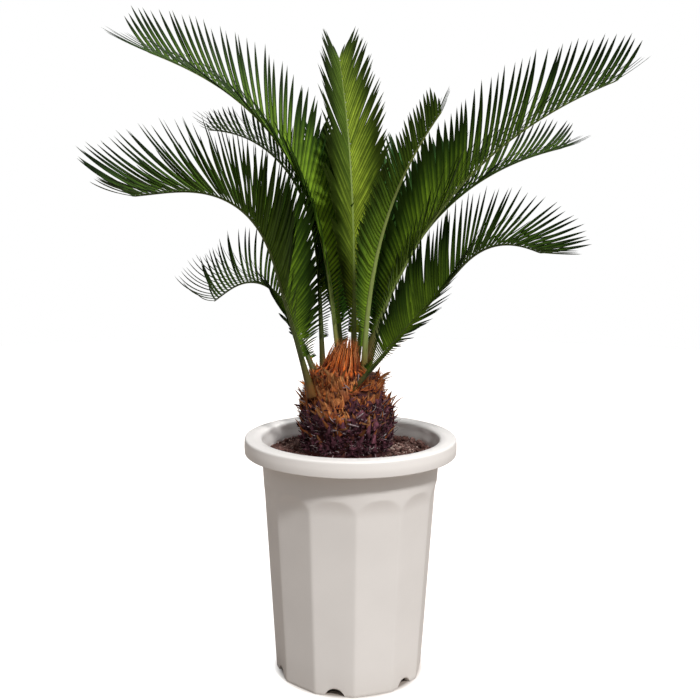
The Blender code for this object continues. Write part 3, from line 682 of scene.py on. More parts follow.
def make_pot(settings):
    """The pot in one skin: pad, recess, foot ring with its notches, wall, rim, inside and floor.

    The foot's height at an angle is that of a circle's arch where a notch is, and 0 elsewhere."""
    columns = 480
    angles = full_circle(columns)
    apart = 2 * math.pi / NOTCHES
    off = np.abs((angles - FIRST_FLAT + apart / 2) % apart - apart / 2) * FOOT_RADIUS
    arch = np.sqrt(np.maximum(NOTCH_RADIUS**2 - off**2, 0.0)) - (NOTCH_RADIUS - NOTCH_HEIGHT)
    arch = np.maximum(arch, 0.0)

    def rings(points, lifted=False):
        """A grid from (radius, height) points, lifted by the notches where asked."""
        radius, height = all_round(points, columns)
        if lifted:
            height = np.maximum(height, height * (1 - arch / 0.03) + arch)
        return radius, height

    under = rings(
        fillet_profile(
            [
                (0.002, 0.0, 0),
                (RECESS_INNER, 0.0, 0.0008),
                (RECESS_INNER, RECESS_HEIGHT, 0.001),
                (RECESS_OUTER, RECESS_HEIGHT, 0),
            ],
            4,
        )
    )
    edge = np.array([(RECESS_OUTER, 0.004), (RECESS_OUTER, 0.0008), (RECESS_OUTER + 0.0008, 0.0)])
    foot = rings(edge, True)
    foot[1][0] = np.clip(arch, 0.004, RECESS_HEIGHT - 0.0001)
    low = np.array([0.0, 0.0003, 0.0012, 0.004, 0.008, 0.013, 0.019, 0.026])
    body = np.linspace(0.034, ARCH_SPRING - 0.008, 14)
    bend = ARCH_SPRING + ARCH_RISE * np.sin(np.linspace(-0.35, math.pi / 2, 22))
    heights = np.concatenate([low, body, bend, np.linspace(0.2345, RIM_UNDERSIDE - 0.0015, 6)])[:, None]
    wall = wall_reach(angles[None], heights, settings.edge_softness)
    wall[0] -= 0.0012
    wall[1] -= 0.0004
    lifted = np.broadcast_to(heights, wall.shape) * np.where(heights < 0.03, 1 - arch / 0.03, 1.0)
    lifted = lifted + np.where(heights < 0.03, arch, 0.0)
    rim = rings(
        fillet_profile(
            [
                (0.1040, RIM_UNDERSIDE, 0),
                (RIM_RADIUS - 0.0004, RIM_UNDERSIDE, 0.0012),
                (RIM_RADIUS, RIM_UNDERSIDE + 0.008, 0.002),
                (RIM_RADIUS - 0.0004, POT_HEIGHT - 0.0012, 0.0026),
                (MOUTH_RADIUS + 0.0075, POT_HEIGHT + 0.0001, 0.004),
                (MOUTH_RADIUS + 0.0004, POT_HEIGHT - 0.0022, 0.0030),
                (MOUTH_RADIUS - 0.0006, POT_HEIGHT - 0.0100, 0.002),
                (SOIL_RADIUS, SOIL_EDGE + 0.004, 0.002),
                (SOIL_RADIUS, SOIL_EDGE, 0.001),
                (*INSIDE_HIGH, 0.004),
                (*INSIDE_LOW, 0.004),
                (FLOOR_RADIUS, FLOOR_TOP, 0.003),
                (0.060, FLOOR_TOP, 0),
                (0.044, FLOOR_TOP, 0),
                (0.002, FLOOR_TOP, 0),
            ],
            7,
        )
    )
    inner = (rim[0] < MOUTH_RADIUS) & (rim[1] > SOIL_EDGE + 0.001)
    rim[0][inner] += (0.0005 * np.cos(20 * angles + 0.6) * np.ones_like(rim[0]))[inner]
    radius = np.concatenate([under[0], foot[0], wall, rim[0]])
    height = np.concatenate([under[1], foot[1], lifted, rim[1]])
    skin = Skin()
    turned(skin, radius, height)
    pot = skin.build("pot_dressed", [pot_plastic(settings)], 32)
    drill_drains(pot)
    return pot


def drill_drains(pot):
    """Cut the drain holes: upright round rods on a circle, taken out of the floor."""
    rods = Skin()
    facing = FIRST_FLAT + 2 * math.pi * np.arange(NOTCHES) / NOTCHES
    foot = level_out(facing) * DRAIN_CIRCLE - UP * 0.004
    path = foot[:, None] + UP * np.array([0.0, 0.008, 0.0239, 0.024])[None, :, None]
    across = np.broadcast_to(np.array((1.0, 0.0, 0.0)), path.shape)
    face = np.broadcast_to(np.array((0.0, 1.0, 0.0)), path.shape)
    size = np.full(path.shape[:2], DRAIN_RADIUS)
    section = level_out(full_circle(24))[:, :2]
    loft(rods, path, across, face, size, size, section, np.full(NOTCHES, 0.5))
    tool = rods.build("drain_rods", [])
    boolean = pot.modifiers.new("drains", "BOOLEAN")
    boolean.operation = "DIFFERENCE"
    boolean.solver = "EXACT"
    boolean.object = tool
    graph = bpy.context.evaluated_depsgraph_get()
    cut = bpy.data.meshes.new_from_object(pot.evaluated_get(graph))
    pot.modifiers.clear()
    pot.data = cut
    bpy.data.objects.remove(tool, do_unlink=True)


# Soil


def soil_height(radius, angle):
    """The solid's mound and small lumps."""
    x = radius * np.cos(angle)
    y = radius * np.sin(angle)
    mound = SOIL_MOUND * (1 - radius / SOIL_RADIUS)
    return SOIL_EDGE + mound + SOIL_LUMP * np.sin(160 * x + 3) * np.cos(190 * y)


def soil_body(skin):
    """Soil from the pot's floor up, with a crumbly top: the solid's height plus finer lumps."""
    columns = 260
    angles = full_circle(columns)
    wall = np.array(
        [
            (0.002, FLOOR_TOP + GAP),
            (FLOOR_RADIUS - GAP, FLOOR_TOP + GAP),
            (INSIDE_LOW[0] - GAP, INSIDE_LOW[1]),
            (INSIDE_HIGH[0] - GAP, INSIDE_HIGH[1]),
            (SOIL_RADIUS - GAP, SOIL_EDGE - 0.002),
        ]
    )
    reach = np.linspace(SOIL_RADIUS - GAP, 0.036, 60)
    radius, height = all_round(np.concatenate([wall, np.stack([reach, reach], axis=-1)]), columns)
    top = soil_height(radius[5:], angles[None])
    x = radius[5:] * np.cos(angles)
    y = radius[5:] * np.sin(angles)
    crumbly = 0.0011 * lumps(x, y, 0.011, 3) + 0.0007 * np.abs(lumps(x, y, 0.005, 4))
    edge = smoothstep((SOIL_RADIUS - radius[5:]) / 0.006)
    height[5:] = top + crumbly * edge - 0.0004
    turned(skin, radius, height, tone=0.1)


def make_soil(settings):
    """The soil's body, then loose crumbs, clods and bits of fibre lying on it."""
    draw = np.random.default_rng(21)
    skin = Skin()
    soil_body(skin)

    def scatter(count, near, far, sizes, slot, tones, sink=0.25, arc=(0, 2 * math.pi)):
        """Crumbs on the top, over an arc: short tapered lumps, turned every way and partly sunk."""
        angle = draw.uniform(*arc, count)
        place = np.sqrt(draw.uniform(near**2, far**2, count))
        size = draw.uniform(0, 1, count) ** 2.2 * (sizes[1] - sizes[0]) + sizes[0]
        point = polar(angle, place, soil_height(place, angle) + size * (0.5 - sink))
        way = unit(draw.normal(0, 1, (count, 3)) * (1, 1, 0.6))
        t = np.array([-1.0, -0.62, 0.05, 0.7, 1.0])
        path = point[:, None] + way[:, None] * (size[:, None] * t)[..., None] * 0.6
        across, face = path_frames(path, draw.normal(0, 1, (count, 1, 3)))
        swell = np.sqrt(np.maximum(1 - t**2, 0.0)) * draw.uniform(0.75, 1.2, (count, 5))
        width = size[:, None] * swell * 0.55
        tone = draw.uniform(*tones, count)
        loft(skin, path, across, face, width, width * 0.75, CRUMB_SECTION, tone, slot, pointed=True)

    scatter(1500, 0.048, 0.0985, (0.0016, 0.0052), 0, (0.0, 0.75))
    scatter(760, 0.048, 0.0985, (0.0010, 0.0030), 1, (0.2, 1.0))
    scatter(900, 0.048, 0.0985, (0.0010, 0.0034), 1, (0.5, 1.0), arc=(-1.2, 1.4))
    scatter(46, 0.055, 0.095, (0.0055, 0.0092), 0, (0.0, 0.35), sink=0.1)
    scatter(12, 0.070, 0.090, (0.0070, 0.0110), 0, (0.0, 0.3), sink=0.0, arc=(0.1, 0.8))

    count = 260
    angle = draw.uniform(0, 2 * math.pi, count)
    place = np.sqrt(draw.uniform(0.050**2, 0.096**2, count))
    start = polar(angle, place, soil_height(place, angle) + 0.0012)
    turn = draw.uniform(0, 2 * math.pi, count)
    reach = draw.uniform(0.004, 0.012, count)[:, None]
    level = np.stack([np.cos(turn), np.sin(turn), draw.uniform(-0.1, 0.12, count)], axis=-1)
    sideways = np.stack([-np.sin(turn), np.cos(turn), draw.uniform(0.1, 0.5, count)], axis=-1)
    path = bent_paths(start, start + level * reach * 0.5 + sideways * reach * 0.2, start + level * reach, 5)
    room = SOIL_RADIUS - 0.0015
    path[..., :2] *= np.minimum(1.0, room / np.linalg.norm(path[..., :2], axis=-1, keepdims=True))
    outline = (1, 1, 0.9, 0.6, 0.2)
    strands(skin, draw, path, UP, (0.00025, 0.0007), outline, HAIR_SECTION, 1, (0.3, 1), 1)
    dark = tuple(settings.soil)
    pale = tuple(settings.grit)
    materials = [
        potting_mix("potting_mix", tinted(dark, 0.7), tinted(dark, 1.7), mix_colour(dark, pale, 0.4)),
        potting_mix("potting_grit", tinted(dark, 1.6), mix_colour(dark, pale, 0.6), tinted(pale, 1.3)),
    ]
    return skin.build("soil_dressed", materials, 45)


# Trunk


def trunk_ring(row):
    """Radius and height of a row of the lattice of leaf bases, rounding over to the crown along a
    quarter of an ellipse above its upright part. Rows may be fractions."""
    row = np.asarray(row, dtype=float)
    share = np.clip((row - 1) / (SCALE_ROWS - 1), 0.0, 1.0)
    radius = TRUNK_RADIUS - 0.0020 + 0.0025 * np.sin(math.pi * share) - 0.003 * share
    radius = radius - 0.0045 * smoothstep((row - 4.0) / 3.5)
    turn = math.pi / 2 * np.clip(row - SCALE_ROWS, 0.0, 9.0) / (SHOULDER_ROWS + 0.6)
    height = mix(SCALE_FROM, SCALE_TO, share) + (CROWN_TOP - SCALE_TO) * np.sin(turn)
    return radius - (radius - CROWN_RADIUS) * (1 - np.cos(turn)), height


def trunk_core(skin):
    """The trunk under its leaf bases, down through the buried foot to the point of the taproot."""
    columns = 90
    angles = full_circle(columns)
    foot = np.array(
        [
            (0.002, TAPROOT_TIP),
            (0.006, TAPROOT_TIP + 0.002),
            (0.014, 0.165),
            (0.026, 0.195),
            (0.043, 0.215),
            (TRUNK_RADIUS - 0.0005, 0.235),
            (TRUNK_RADIUS - 0.0005, SCALE_FROM - 0.006),
        ]
    )
    ring_radius, ring_height = trunk_ring(np.linspace(1, SCALE_ROWS + SHOULDER_ROWS, 34))
    rings = np.stack([ring_radius - 0.0012, ring_height - 0.0005], axis=-1)
    crown = [(0.022, CROWN_TOP - 0.0008), (0.004, CROWN_TOP - 0.0006)]
    profile = np.concatenate([foot, rings, crown])
    radius, height = all_round(profile, columns)
    rough = lumps(radius * angles, height + 0 * angles, 0.008, 7)
    radius = radius - 0.0012 * np.abs(rough) * (height > SCALE_FROM)
    # Painted shade: the core gets a very low tone, so it shows dark in the gaps between leaf bases.
    turned(skin, radius, height, TRUNK_CENTRE, 0, 0.05)


def make_trunk(settings, spines):
    """Core, broad leaf bases in staggered rows, torn strips over the upper ones, dry stubs that
    stand out from some of them, then tatters and hairs between them."""
    draw = np.random.default_rng(31)
    skin = Skin()
    trunk_core(skin)

    # Leaf bases: each starts on the row below, bulges out and ends free, held back near a stem
    rows = np.repeat(np.arange(1, SCALE_ROWS + SHOULDER_ROWS), SCALE_COLUMNS).astype(float)
    count = len(rows)
    column = np.tile(np.arange(SCALE_COLUMNS), SCALE_ROWS + SHOULDER_ROWS - 1)
    angle = 2 * math.pi * (column + 0.5 * (rows % 2) + 0.5) / SCALE_COLUMNS + draw.uniform(-0.13, 0.13, count)
    rows = rows + draw.uniform(-0.45, 0.45, count)
    height_share = (rows - 1) / (SCALE_ROWS + SHOULDER_ROWS - 2)
    out = level_out(angle)
    low_radius, low_height = trunk_ring(rows - 0.9)
    mid_radius, mid_height = trunk_ring(rows)
    start = polar(angle, low_radius - 0.0022, low_height, TRUNK_CENTRE)
    fade = smoothstep((rows - 0.5) / 2.0)
    push = SCALE_OUT * draw.uniform(0.15, 0.8, count) * (0.35 + 0.65 * fade)
    lift = SCALE_UP * draw.uniform(0.45, 1.1, count)
    slope = 1 - 0.95 * smoothstep((rows - 4.8) / 2.0) * smoothstep((out[:, 0] - 0.05) / 0.55)
    push = push * (0.15 + 0.85 * slope)
    lift = lift * slope
    middle_point = polar(angle, mid_radius, mid_height, TRUNK_CENTRE)
    skew = np.cross(out, UP) * draw.normal(0, 0.0035, count)[:, None]
    end = middle_point + out * push[:, None] + UP * lift[:, None] + skew
    near = stem_distance(end, spines)
    hold = smoothstep((near - HELD_BACK_FROM) / HELD_BACK_SPAN)[:, None]
    end = mix(middle_point + out * 0.001 + UP * 0.002, end, hold)
    bulge = polar(angle, mid_radius, (low_height + mid_height) / 2, TRUNK_CENTRE)
    bulge = bulge + out * (push * 0.95 * hold[:, 0])[:, None]
    path = bent_paths(start, bulge, end, 8)
    across, face = path_frames(path, out[:, None])
    t = np.linspace(0, 1, 8)
    outline = np.array([0.85, 1.0, 1.04, 1.0, 0.90, 0.72, 0.48, 0.0])
    growth = np.interp(rows, [1, 3.6, 4.6, 7, 9], [0.42, 0.46, 0.85, 1.0, 0.78])
    half = draw.uniform(0.0075, 0.0120, count) * growth
    width = half[:, None] * outline * draw.uniform(0.80, 1.15, (count, 8))
    thick = np.array([0.0022, 0.0026, 0.0026, 0.0022, 0.0017, 0.0012, 0.0008, 0.0]) * np.ones((count, 1))
    wobble = draw.normal(0, 0.0008, (count, 8, 3)) * np.sin(math.pi * t)[None, :, None]
    tone = draw.uniform(0.22, 1.0, count)
    upper = height_share + draw.normal(0, 0.11, count) > mix(0.53, 0.82, smoothstep((out[:, 0] - 0.2) / 0.6))
    slots = np.where(upper, 0, 1)
    loft_by_slot(skin, slots, path + wobble, across, face, width, thick, SCALE_SECTION, tone)

    # Torn strips, six on each of the upper leaf bases
    torn = np.repeat(np.flatnonzero(upper), 6)
    fan = np.tile(np.linspace(-1, 1, 6), len(torn) // 6) + draw.normal(0, 0.12, len(torn))
    beside = np.cross(out[torn], UP) * (fan * half[torn])[:, None]
    ragged = draw.normal(0, 0.0022, (len(torn), 3)) + out[torn] * draw.uniform(0.0, 0.003, len(torn))[:, None]
    foot = start[torn] + beside * 0.6
    crest = bulge[torn] + beside * 0.9 + out[torn] * (0.0030 - 0.0022 * fan[:, None] ** 2)
    path = bent_paths(foot, crest, end[torn] + beside * 0.55 + ragged, 8)
    facing = out[torn][:, None] + beside[:, None] * 60
    width = draw.uniform(0.0012, 0.0026, (len(torn), 1))
    width = width * np.array([0.8, 1.0, 1.0, 0.95, 0.85, 0.65, 0.4, 0.0])
    chosen = draw.uniform(0, 1, len(torn)) < 0.22
    tone = np.clip(np.repeat(tone[upper], 6) * 1.1 + draw.normal(0, 0.16, len(torn)), 0, 1)
    across, face = path_frames(path, facing)
    slots = np.where(chosen, 2, 0)
    loft_by_slot(skin, slots, path, across, face, width, width * 0.4, STRAP_SECTION, tone)

    # Dry stubs that carry some leaf bases on
    stubs = draw.permutation(np.flatnonzero((rows > 1.5) & (near > STUB_CLEAR)))[: settings.stubs]
    reach = draw.uniform(0.004, 0.017, len(stubs))
    rise = draw.uniform(0.2, 1.0, len(stubs))[:, None]
    sideways = np.cross(out[stubs], UP) * draw.normal(0, 0.35, len(stubs))[:, None]
    way = unit(out[stubs] * (1.15 - rise * 0.75) + UP * rise + sideways)
    root = mix(middle_point[stubs], end[stubs], 0.45)
    tip = end[stubs] + way * reach[:, None]
    arch = (UP * 0.2 - out[stubs] * 0.1) * reach[:, None] * draw.normal(0.2, 0.6, (len(stubs), 1))
    path = bent_paths(root, root + (tip - root) * 0.5 + arch, tip, 8)
    outline = (1.3, 1.25, 1.1, 0.95, 0.8, 0.6, 0.35, 0.0)
    facing = out[stubs][:, None]
    strands(skin, draw, path, facing, (0.0010, 0.0028), outline, STRAP_SECTION, 0.6, (0.2, 1), 2)

    def roots(count, low, high, highest, lengths):
        """Ways out, places between two rows at most so high above them, and lengths."""
        angle = draw.uniform(0, 2 * math.pi, count)
        radius, height = trunk_ring(draw.uniform(low, high, count))
        root = polar(angle, radius + draw.uniform(-0.001, highest, count), height, TRUNK_CENTRE)
        return level_out(angle), root, draw.uniform(*lengths, count)[:, None]

    def fibres(count, low, high, lengths, girth, slot, spread, tones):
        """Hairs rooted among the leaf bases between two rows, leaning out and up, bent over."""
        out, root, length = roots(count, low, high, 0.0035, lengths)
        lean = out * draw.uniform(0.1, 1.0, count)[:, None]
        lean = lean + UP * draw.uniform(0.3, 1.0, count)[:, None]
        way = unit(lean + draw.normal(0, spread, (count, 3)))
        tip = root + way * length
        bend = root + way * length * 0.5 + draw.normal(0, 0.22, (count, 3)) * length
        path = bent_paths(root, bend, tip, 4)
        outline = (1, 0.85, 0.5, 0)
        strands(skin, draw, path, out[:, None], girth, outline, HAIR_SECTION, 1, tones, slot)

    def tatters(count, low, high, lengths, girth, slot, rise, spread, tones):
        """Torn strips rooted between two rows: each leaves mostly up and out by its own way, bows
        outwards and ends in a point, clear of the stems."""
        out, root, length = roots(count, low, high, 0.0045, lengths)
        sideways = np.cross(out, UP) * draw.normal(0, spread, count)[:, None]
        upward = UP * draw.uniform(*rise, count)[:, None]
        way = unit(out * draw.uniform(0.05, 0.8, count)[:, None] + upward + sideways)
        tip = root + way * length
        bow = (root + tip) / 2 + out * length * draw.uniform(0.0, 0.35, count)[:, None]
        bow = bow + draw.normal(0, 0.12, (count, 3)) * length
        low_or_left = (out[:, 0] < 0.5) | (root[:, 2] < trunk_ring(6.0)[1])
        clear = low_or_left & (stem_distance(tip, spines) > TATTER_CLEAR)
        path = bent_paths(root, bow, tip, 6)[clear]
        facing = out[:, None] + draw.normal(0, 0.45, (count, 1, 3))
        outline = (0.7, 1.0, 0.95, 0.75, 0.5, 0.0)
        strands(skin, draw, path, facing[clear], girth, outline, STRAP_SECTION, 0.35, tones, slot)

    tatters(60, 3.0, 8.5, (0.009, 0.019), (0.0006, 0.0014), 5, (-0.2, 1.0), 0.8, (0.6, 1.0))
    tatters(70, 1.5, 7.5, (0.010, 0.019), (0.0005, 0.0013), 1, (-0.1, 0.9), 0.5, (0.0, 0.5))
    tatters(330, 5.2, 10.0, (0.005, 0.013), (0.0006, 0.0018), 0, (0.3, 1.2), 0.5, (0.1, 1.0))
    tatters(90, 3.6, 9.6, (0.006, 0.014), (0.0004, 0.0011), 2, (0.1, 1.1), 0.7, (0.2, 1.0))
    tatters(16, 3.6, 8.6, (0.013, 0.021), (0.0012, 0.0023), 2, (-0.5, 0.7), 0.6, (0.4, 1.0))
    tatters(1400, 0.7, 6.0, (0.003, 0.009), (0.0006, 0.0018), 1, (-0.2, 1.0), 0.6, (0.0, 1.0))
    tatters(420, 0.7, 5.6, (0.002, 0.006), (0.0005, 0.0013), 5, (-0.4, 1.0), 0.9, (0.0, 1.0))
    fibres(settings.wool, 4.2, 10.0, (0.003, 0.0075), (0.00012, 0.00026), 3, 0.35, (0.0, 1.0))
    fibres(int(settings.wool * 0.45), 0.6, 4.8, (0.003, 0.009), (0.00012, 0.00030), 4, 0.45, (0.0, 0.7))
    fibres(220, 0.6, 6.0, (0.004, 0.011), (0.00016, 0.00036), 4, 0.6, (0.9, 1.0))
    fibres(110, 1.0, 9.0, (0.010, 0.019), (0.00022, 0.00048), 4, 0.35, (0.0, 0.25))
    wool = tuple(settings.wool_colour)
    husk = tuple(settings.husk_colour)
    stub = tuple(settings.stub_colour)
    golden = ((0.90, 0.36, 0.11), (1.0, 0.46, 0.16))
    faded = (mix_colour(husk, (0.60, 0.50, 0.50), 0.5), (0.62, 0.54, 0.55), (0.80, 0.74, 0.75))
    dusky = (tinted(husk, shade) for shade in (0.35, 0.8, 1.6, 2.6))
    materials = [
        bark_fibre("leaf_base_orange", tinted(husk, 0.7), tinted(wool, 1.35), *golden),
        bark_fibre("leaf_base_dark", *dusky),
        bark_fibre("dry_stub", tinted(wool, 0.7), tinted(stub, 0.8), tinted(stub, 0.6), stub),
        hair_fibre("wool_orange", tinted(wool, 0.55), tinted(wool, 1.6)),
        hair_fibre("fibre_dark", tinted(husk, 0.3), mix_colour(husk, (0.72, 0.66, 0.62), 0.8)),
        bark_fibre("husk_pale", tinted(husk, 0.8), *faded),
    ]
    return skin.build("trunk_dressed", materials, 50)


def stem_distance(points, spines):
    """Distance from each point to the nearest place on the bare lowest stretch of any midrib."""
    stems = np.concatenate([spine["place"][: int(BARE_STEM / spine["step"])] for spine in spines.values()])
    return np.linalg.norm(points[:, None] - stems[None], axis=-1).min(axis=1)


# Crown


def make_tuft(settings, spines):
    """Young leaf bases packed in a blunt cone: woolly straps that stand up, lean to a common middle
    and end at uneven heights, over a furry core, with fine hairs along them."""
    draw = np.random.default_rng(41)
    skin = Skin()
    columns = 48
    angles = full_circle(columns)
    share = np.linspace(0, 1, 16)
    radius = (TUFT_RADIUS * 0.86 * (1 - 0.85 * share**2.4))[:, None] * (1 + 0.06 * np.cos(9 * angles))
    height = (CROWN_TOP - 0.002 + TUFT_HEIGHT * 0.78 * share)[:, None] * np.ones(columns)
    # Painted shade: the core gets a low tone, so it shows dark in the gaps between the straps.
    turned(skin, radius, height, TUFT_CENTRE, 0, 0.15)

    def wider(out):
        """How much further the tuft reaches, which is more on the left."""
        return 1 + TUFT_SPREAD * np.maximum(0.0, -out[:, :1])

    def straps(count, ring, tops, girth, slot):
        """Straps that stand on a ring, at the golden angle from one another, and lean in."""
        angle = 2 * math.pi * np.arange(count) * GOLDEN_SHARE + draw.uniform(-0.1, 0.1, count)
        out = level_out(angle)
        foot_radius = draw.uniform(*ring, count)[:, None] * wider(out)
        foot = np.array((*TUFT_CENTRE, CROWN_TOP - 0.002)) + out * foot_radius
        rise = draw.uniform(*tops, count)[:, None]
        lean = np.array((TUFT_LEAN, 0.0, 0.0)) * rise / TUFT_HEIGHT
        tip = foot + UP * rise - out * foot_radius * draw.uniform(0.28, 0.62, count)[:, None] + lean
        waist = foot + UP * rise * 0.55 + out * 0.0016 + lean * 0.4
        keep = stem_distance(waist, spines) > STRAP_CLEAR
        path = bent_paths(foot, waist, tip, 9)[keep]
        outline = (0.8, 1.0, 1.0, 0.92, 0.8, 0.66, 0.5, 0.3, 0.0)
        facing = out[keep][:, None]
        strands(skin, draw, path, facing, girth, outline, STRAP_SECTION, 0.45, (0.1, 1), slot)

    straps(64, (0.0210, 0.0310), (0.006, 0.014), (0.0012, 0.0030), 0)
    straps(26, (0.0185, 0.0225), (0.016, 0.034), (0.0016, 0.0034), 0)
    straps(40, (0.0140, 0.0190), (0.028, 0.045), (0.0010, 0.0022), 0)
    straps(46, (0.0040, 0.0140), (0.036, TUFT_HEIGHT + 0.002), (0.0008, 0.0018), 0)
    straps(60, (0.0130, 0.0220), (0.020, 0.046), (0.00035, 0.0007), 1)

    count = settings.tuft_hairs
    angle = draw.uniform(0, 2 * math.pi, count)
    out = level_out(angle)
    share = draw.uniform(0.0, 0.9, count)
    radius = TUFT_RADIUS * 1.02 * (1 - 0.62 * share**1.8) * mix(wider(out)[:, 0], 1.0, share)
    root = polar(angle, radius, CROWN_TOP + TUFT_HEIGHT * 0.85 * share, TUFT_CENTRE)
    root[:, 0] += TUFT_LEAN * share
    length = draw.uniform(0.004, 0.010, count)[:, None]
    way = unit(UP + out * draw.uniform(-0.15, 0.35, count)[:, None] + draw.normal(0, 0.10, (count, 3)))
    path = bent_paths(root, root + way * length * 0.5 + out * 0.0006, root + way * length, 4)
    girth = (0.00008, 0.00022)
    strands(skin, draw, path, out[:, None], girth, (1, 0.9, 0.6, 0), HAIR_SECTION, 1, (0, 1), 1)
    wool = tuple(settings.tuft_colour)
    husk = tuple(settings.husk_colour)
    tips = mix_colour(wool, (0.70, 0.36, 0.13), 0.5)
    materials = [
        bark_fibre("crown_wool", tinted(husk, 0.35), wool, tips, tinted(wool, 1.3)),
        hair_fibre("crown_hair", tinted(wool, 0.35), mix_colour(wool, (0.85, 0.52, 0.22), 0.6)),
    ]
    return skin.build("crown_tuft_dressed", materials, 50)


# Fronds


def midrib(frond):
    """Places and frames along a midrib, at even shares of its length.

    Its lean from the vertical goes from the first to the second along a smoothstep between the
    bend's shares, and each place is the last one plus a step along."""
    share = np.linspace(0, 1, SPINE_STEPS + 1)
    turn = smoothstep((share - frond.bend[0]) / (frond.bend[1] - frond.bend[0]))
    lean = np.radians(mix(*frond.lean, turn))[:, None]
    level = level_out(np.full(share.shape, math.radians(frond.heading)))
    along = level * np.sin(lean) + UP * np.cos(lean)
    upper = -level * np.cos(lean) + UP * np.sin(lean)
    step = frond.length / SPINE_STEPS
    place = np.array(frond.foot) + np.concatenate([np.zeros((1, 3)), np.cumsum(along[:-1] * step, axis=0)])
    side = np.cross(along, upper)
    return {"share": share, "place": place, "along": along, "upper": upper, "side": side, "step": step}


def at(spine, share):
    """Place, along, upper and side at shares of the length, read between the spine's steps."""
    found = []
    for name in ("place", "along", "upper", "side"):
        column = [np.interp(share, spine["share"], spine[name][:, k]) for k in range(3)]
        found.append(np.stack(column, axis=-1))
    return found[0], unit(found[1]), unit(found[2]), unit(found[3])


def add_midrib(skin, frond, spine, settings):
    """A tapered midrib with a shallow groove along its upper side and a swollen foot."""
    share = np.linspace(0, 1, 90) ** 1.05
    place, _, upper, side = at(spine, share)
    taper = share**0.8
    swell = 1 + FOOT_SWELL.get(frond.name, 0.5) * np.exp(-share * frond.length / SWELL_LENGTH)
    half_width = mix(*RIB_WIDTH, taper) / 2 * swell * settings.rib_girth
    half_depth = mix(*RIB_DEPTH, taper) / 2 * swell * settings.rib_girth
    groove = ROUND_SECTION.copy()
    groove[3, 1] = 0.72
    groove[[2, 4], 1] = 0.86
    pale = np.array([RIB_PALENESS.get(frond.name, 0.9)])
    loft(skin, place[None], -side[None], upper[None], half_width[None], half_depth[None], groove, pale, 1)


def add_leaflets(skin, draw, frond, spine, settings):
    """A row of leaflets on each side of the midrib, which starts as short prickles.

    A leaflet's way at a share t of itself is along·cos(o) + (side·cos(l) + upper·sin(l))·sin(o),
    where the opening o and the lift l both grow with t, so that it curves outwards and up. Its
    path is the running sum of that way. It is widest over its middle and tapers to a point."""
    pairs = frond.blades
    row = (np.arange(pairs) + 0.5) / pairs
    station = np.concatenate([row, row + 0.3 / pairs]) + draw.normal(0, 0.06 / pairs, 2 * pairs)
    station = np.clip(station, 0.0, 1.0) ** 1.5
    sign = np.repeat([1.0, -1.0], pairs)
    position = LEAFLETS_FROM + (LEAFLETS_TO - LEAFLETS_FROM) * station
    leafy = np.clip((position - FULL_FROM) / FULL_SPAN, 0.0, 1.0)
    place, along, upper, side = at(spine, position)
    count = len(sign)
    longest, broadest, last = frond.leaflet
    size = np.minimum(1.0, 0.12 + 2.9 * leafy) * (1 - (1 - last) * np.clip((leafy - 0.5) / 0.5, 0, 1) ** 2)
    size = size * (1 - TIP_SHRINK.get(frond.name, 0.70) * np.clip((leafy - 0.93) / 0.07, 0, 1) ** 1.5)
    size = size * draw.uniform(0.94, 1.04, count)
    opening = mix(*frond.opening, leafy) + 30 * np.clip(1 - leafy / 0.25, 0, 1) ** 1.5
    opening = opening + draw.normal(0, 1.3, count)
    lifts = [np.interp(leafy, LIFT_PLACES, lifted) for lifted in (frond.right_lift, frond.left_lift)]
    lift = np.where(sign > 0, *lifts) + draw.normal(0, 1.8, count)
    stations = 11
    t = np.linspace(0, 1, stations) ** 0.9
    curl = mix(*frond.curl, smoothstep((leafy - 0.3) / 0.5))[:, None] * settings.leaflet_curl
    open_angle = np.radians(opening[:, None] + curl * (t - 0.5))
    lift_angle = np.radians(lift[:, None] + curl * 0.7 * (t - 0.55))
    rise = side[:, None] * (sign[:, None] * np.cos(lift_angle))[..., None]
    rise = rise + upper[:, None] * np.sin(lift_angle)[..., None]
    way = along[:, None] * np.cos(open_angle)[..., None] + rise * np.sin(open_angle)[..., None]
    steps = np.diff(t)[None, :, None] * (longest * size)[:, None, None]
    run = np.cumsum((way[:, 1:] + way[:, :-1]) / 2 * steps, axis=1)
    taper = position**0.8
    rib_half = mix(*RIB_WIDTH, taper) / 2
    root = place + side * (sign * rib_half * 0.7)[:, None] + upper * (rib_half * 0.35)[:, None]
    path = root[:, None] + np.concatenate([np.zeros((count, 1, 3)), run], axis=1)
    way = unit(way)
    flat = unit(along[:, None] - way * dot(along[:, None], way))
    roll = np.radians(draw.normal(settings.leaflet_roll, 4.0, count))[:, None, None]
    turn = sign[:, None, None]
    flat = flat * np.cos(roll) + np.cross(way, flat) * np.sin(roll) * turn
    face = np.cross(way, flat)
    half = broadest / 2 * settings.leaflet_girth * mix(1.75, 1.0, smoothstep((leafy - 0.25) / 0.35))
    half = np.where(lift < 0, broadest / 2 * 0.6, half)
    half = half * (0.42 + 0.58 * np.clip(size * 1.4, 0, 1))
    half = half * mix(0.45, 1.0, smoothstep((leafy - 0.02) / 0.14))
    outline = np.minimum(1.0, 0.62 + t / 0.12 * 0.38) * (1 - np.clip((t - 0.50) / 0.50, 0, 1) ** 2.2)
    width = half[:, None] * outline
    thick = settings.leaflet_thickness / 2 * np.linspace(1.3, 0.6, stations) * np.ones((count, 1))
    thick = thick * (0.6 + 0.4 * np.clip(size * 1.5, 0, 1))[:, None]
    # Painted shade and light: tone falls from the frond's foot to its tip; the young frond's right row is
    # raised.
    tone = draw.normal(0.0, 0.10, count) + np.interp(leafy, (0.0, 0.3, 0.6, 1.0), (1.0, 0.92, 0.29, 0.05))
    tone = tone + sign * settings.painted_light_side * (frond.name == "centre")
    tone = np.clip(tone - settings.age_shade * (frond.lean[1] > 90), 0, 1)
    loft(skin, path, flat * turn, face * turn, width, thick, LEAF_SECTION, tone, 0)


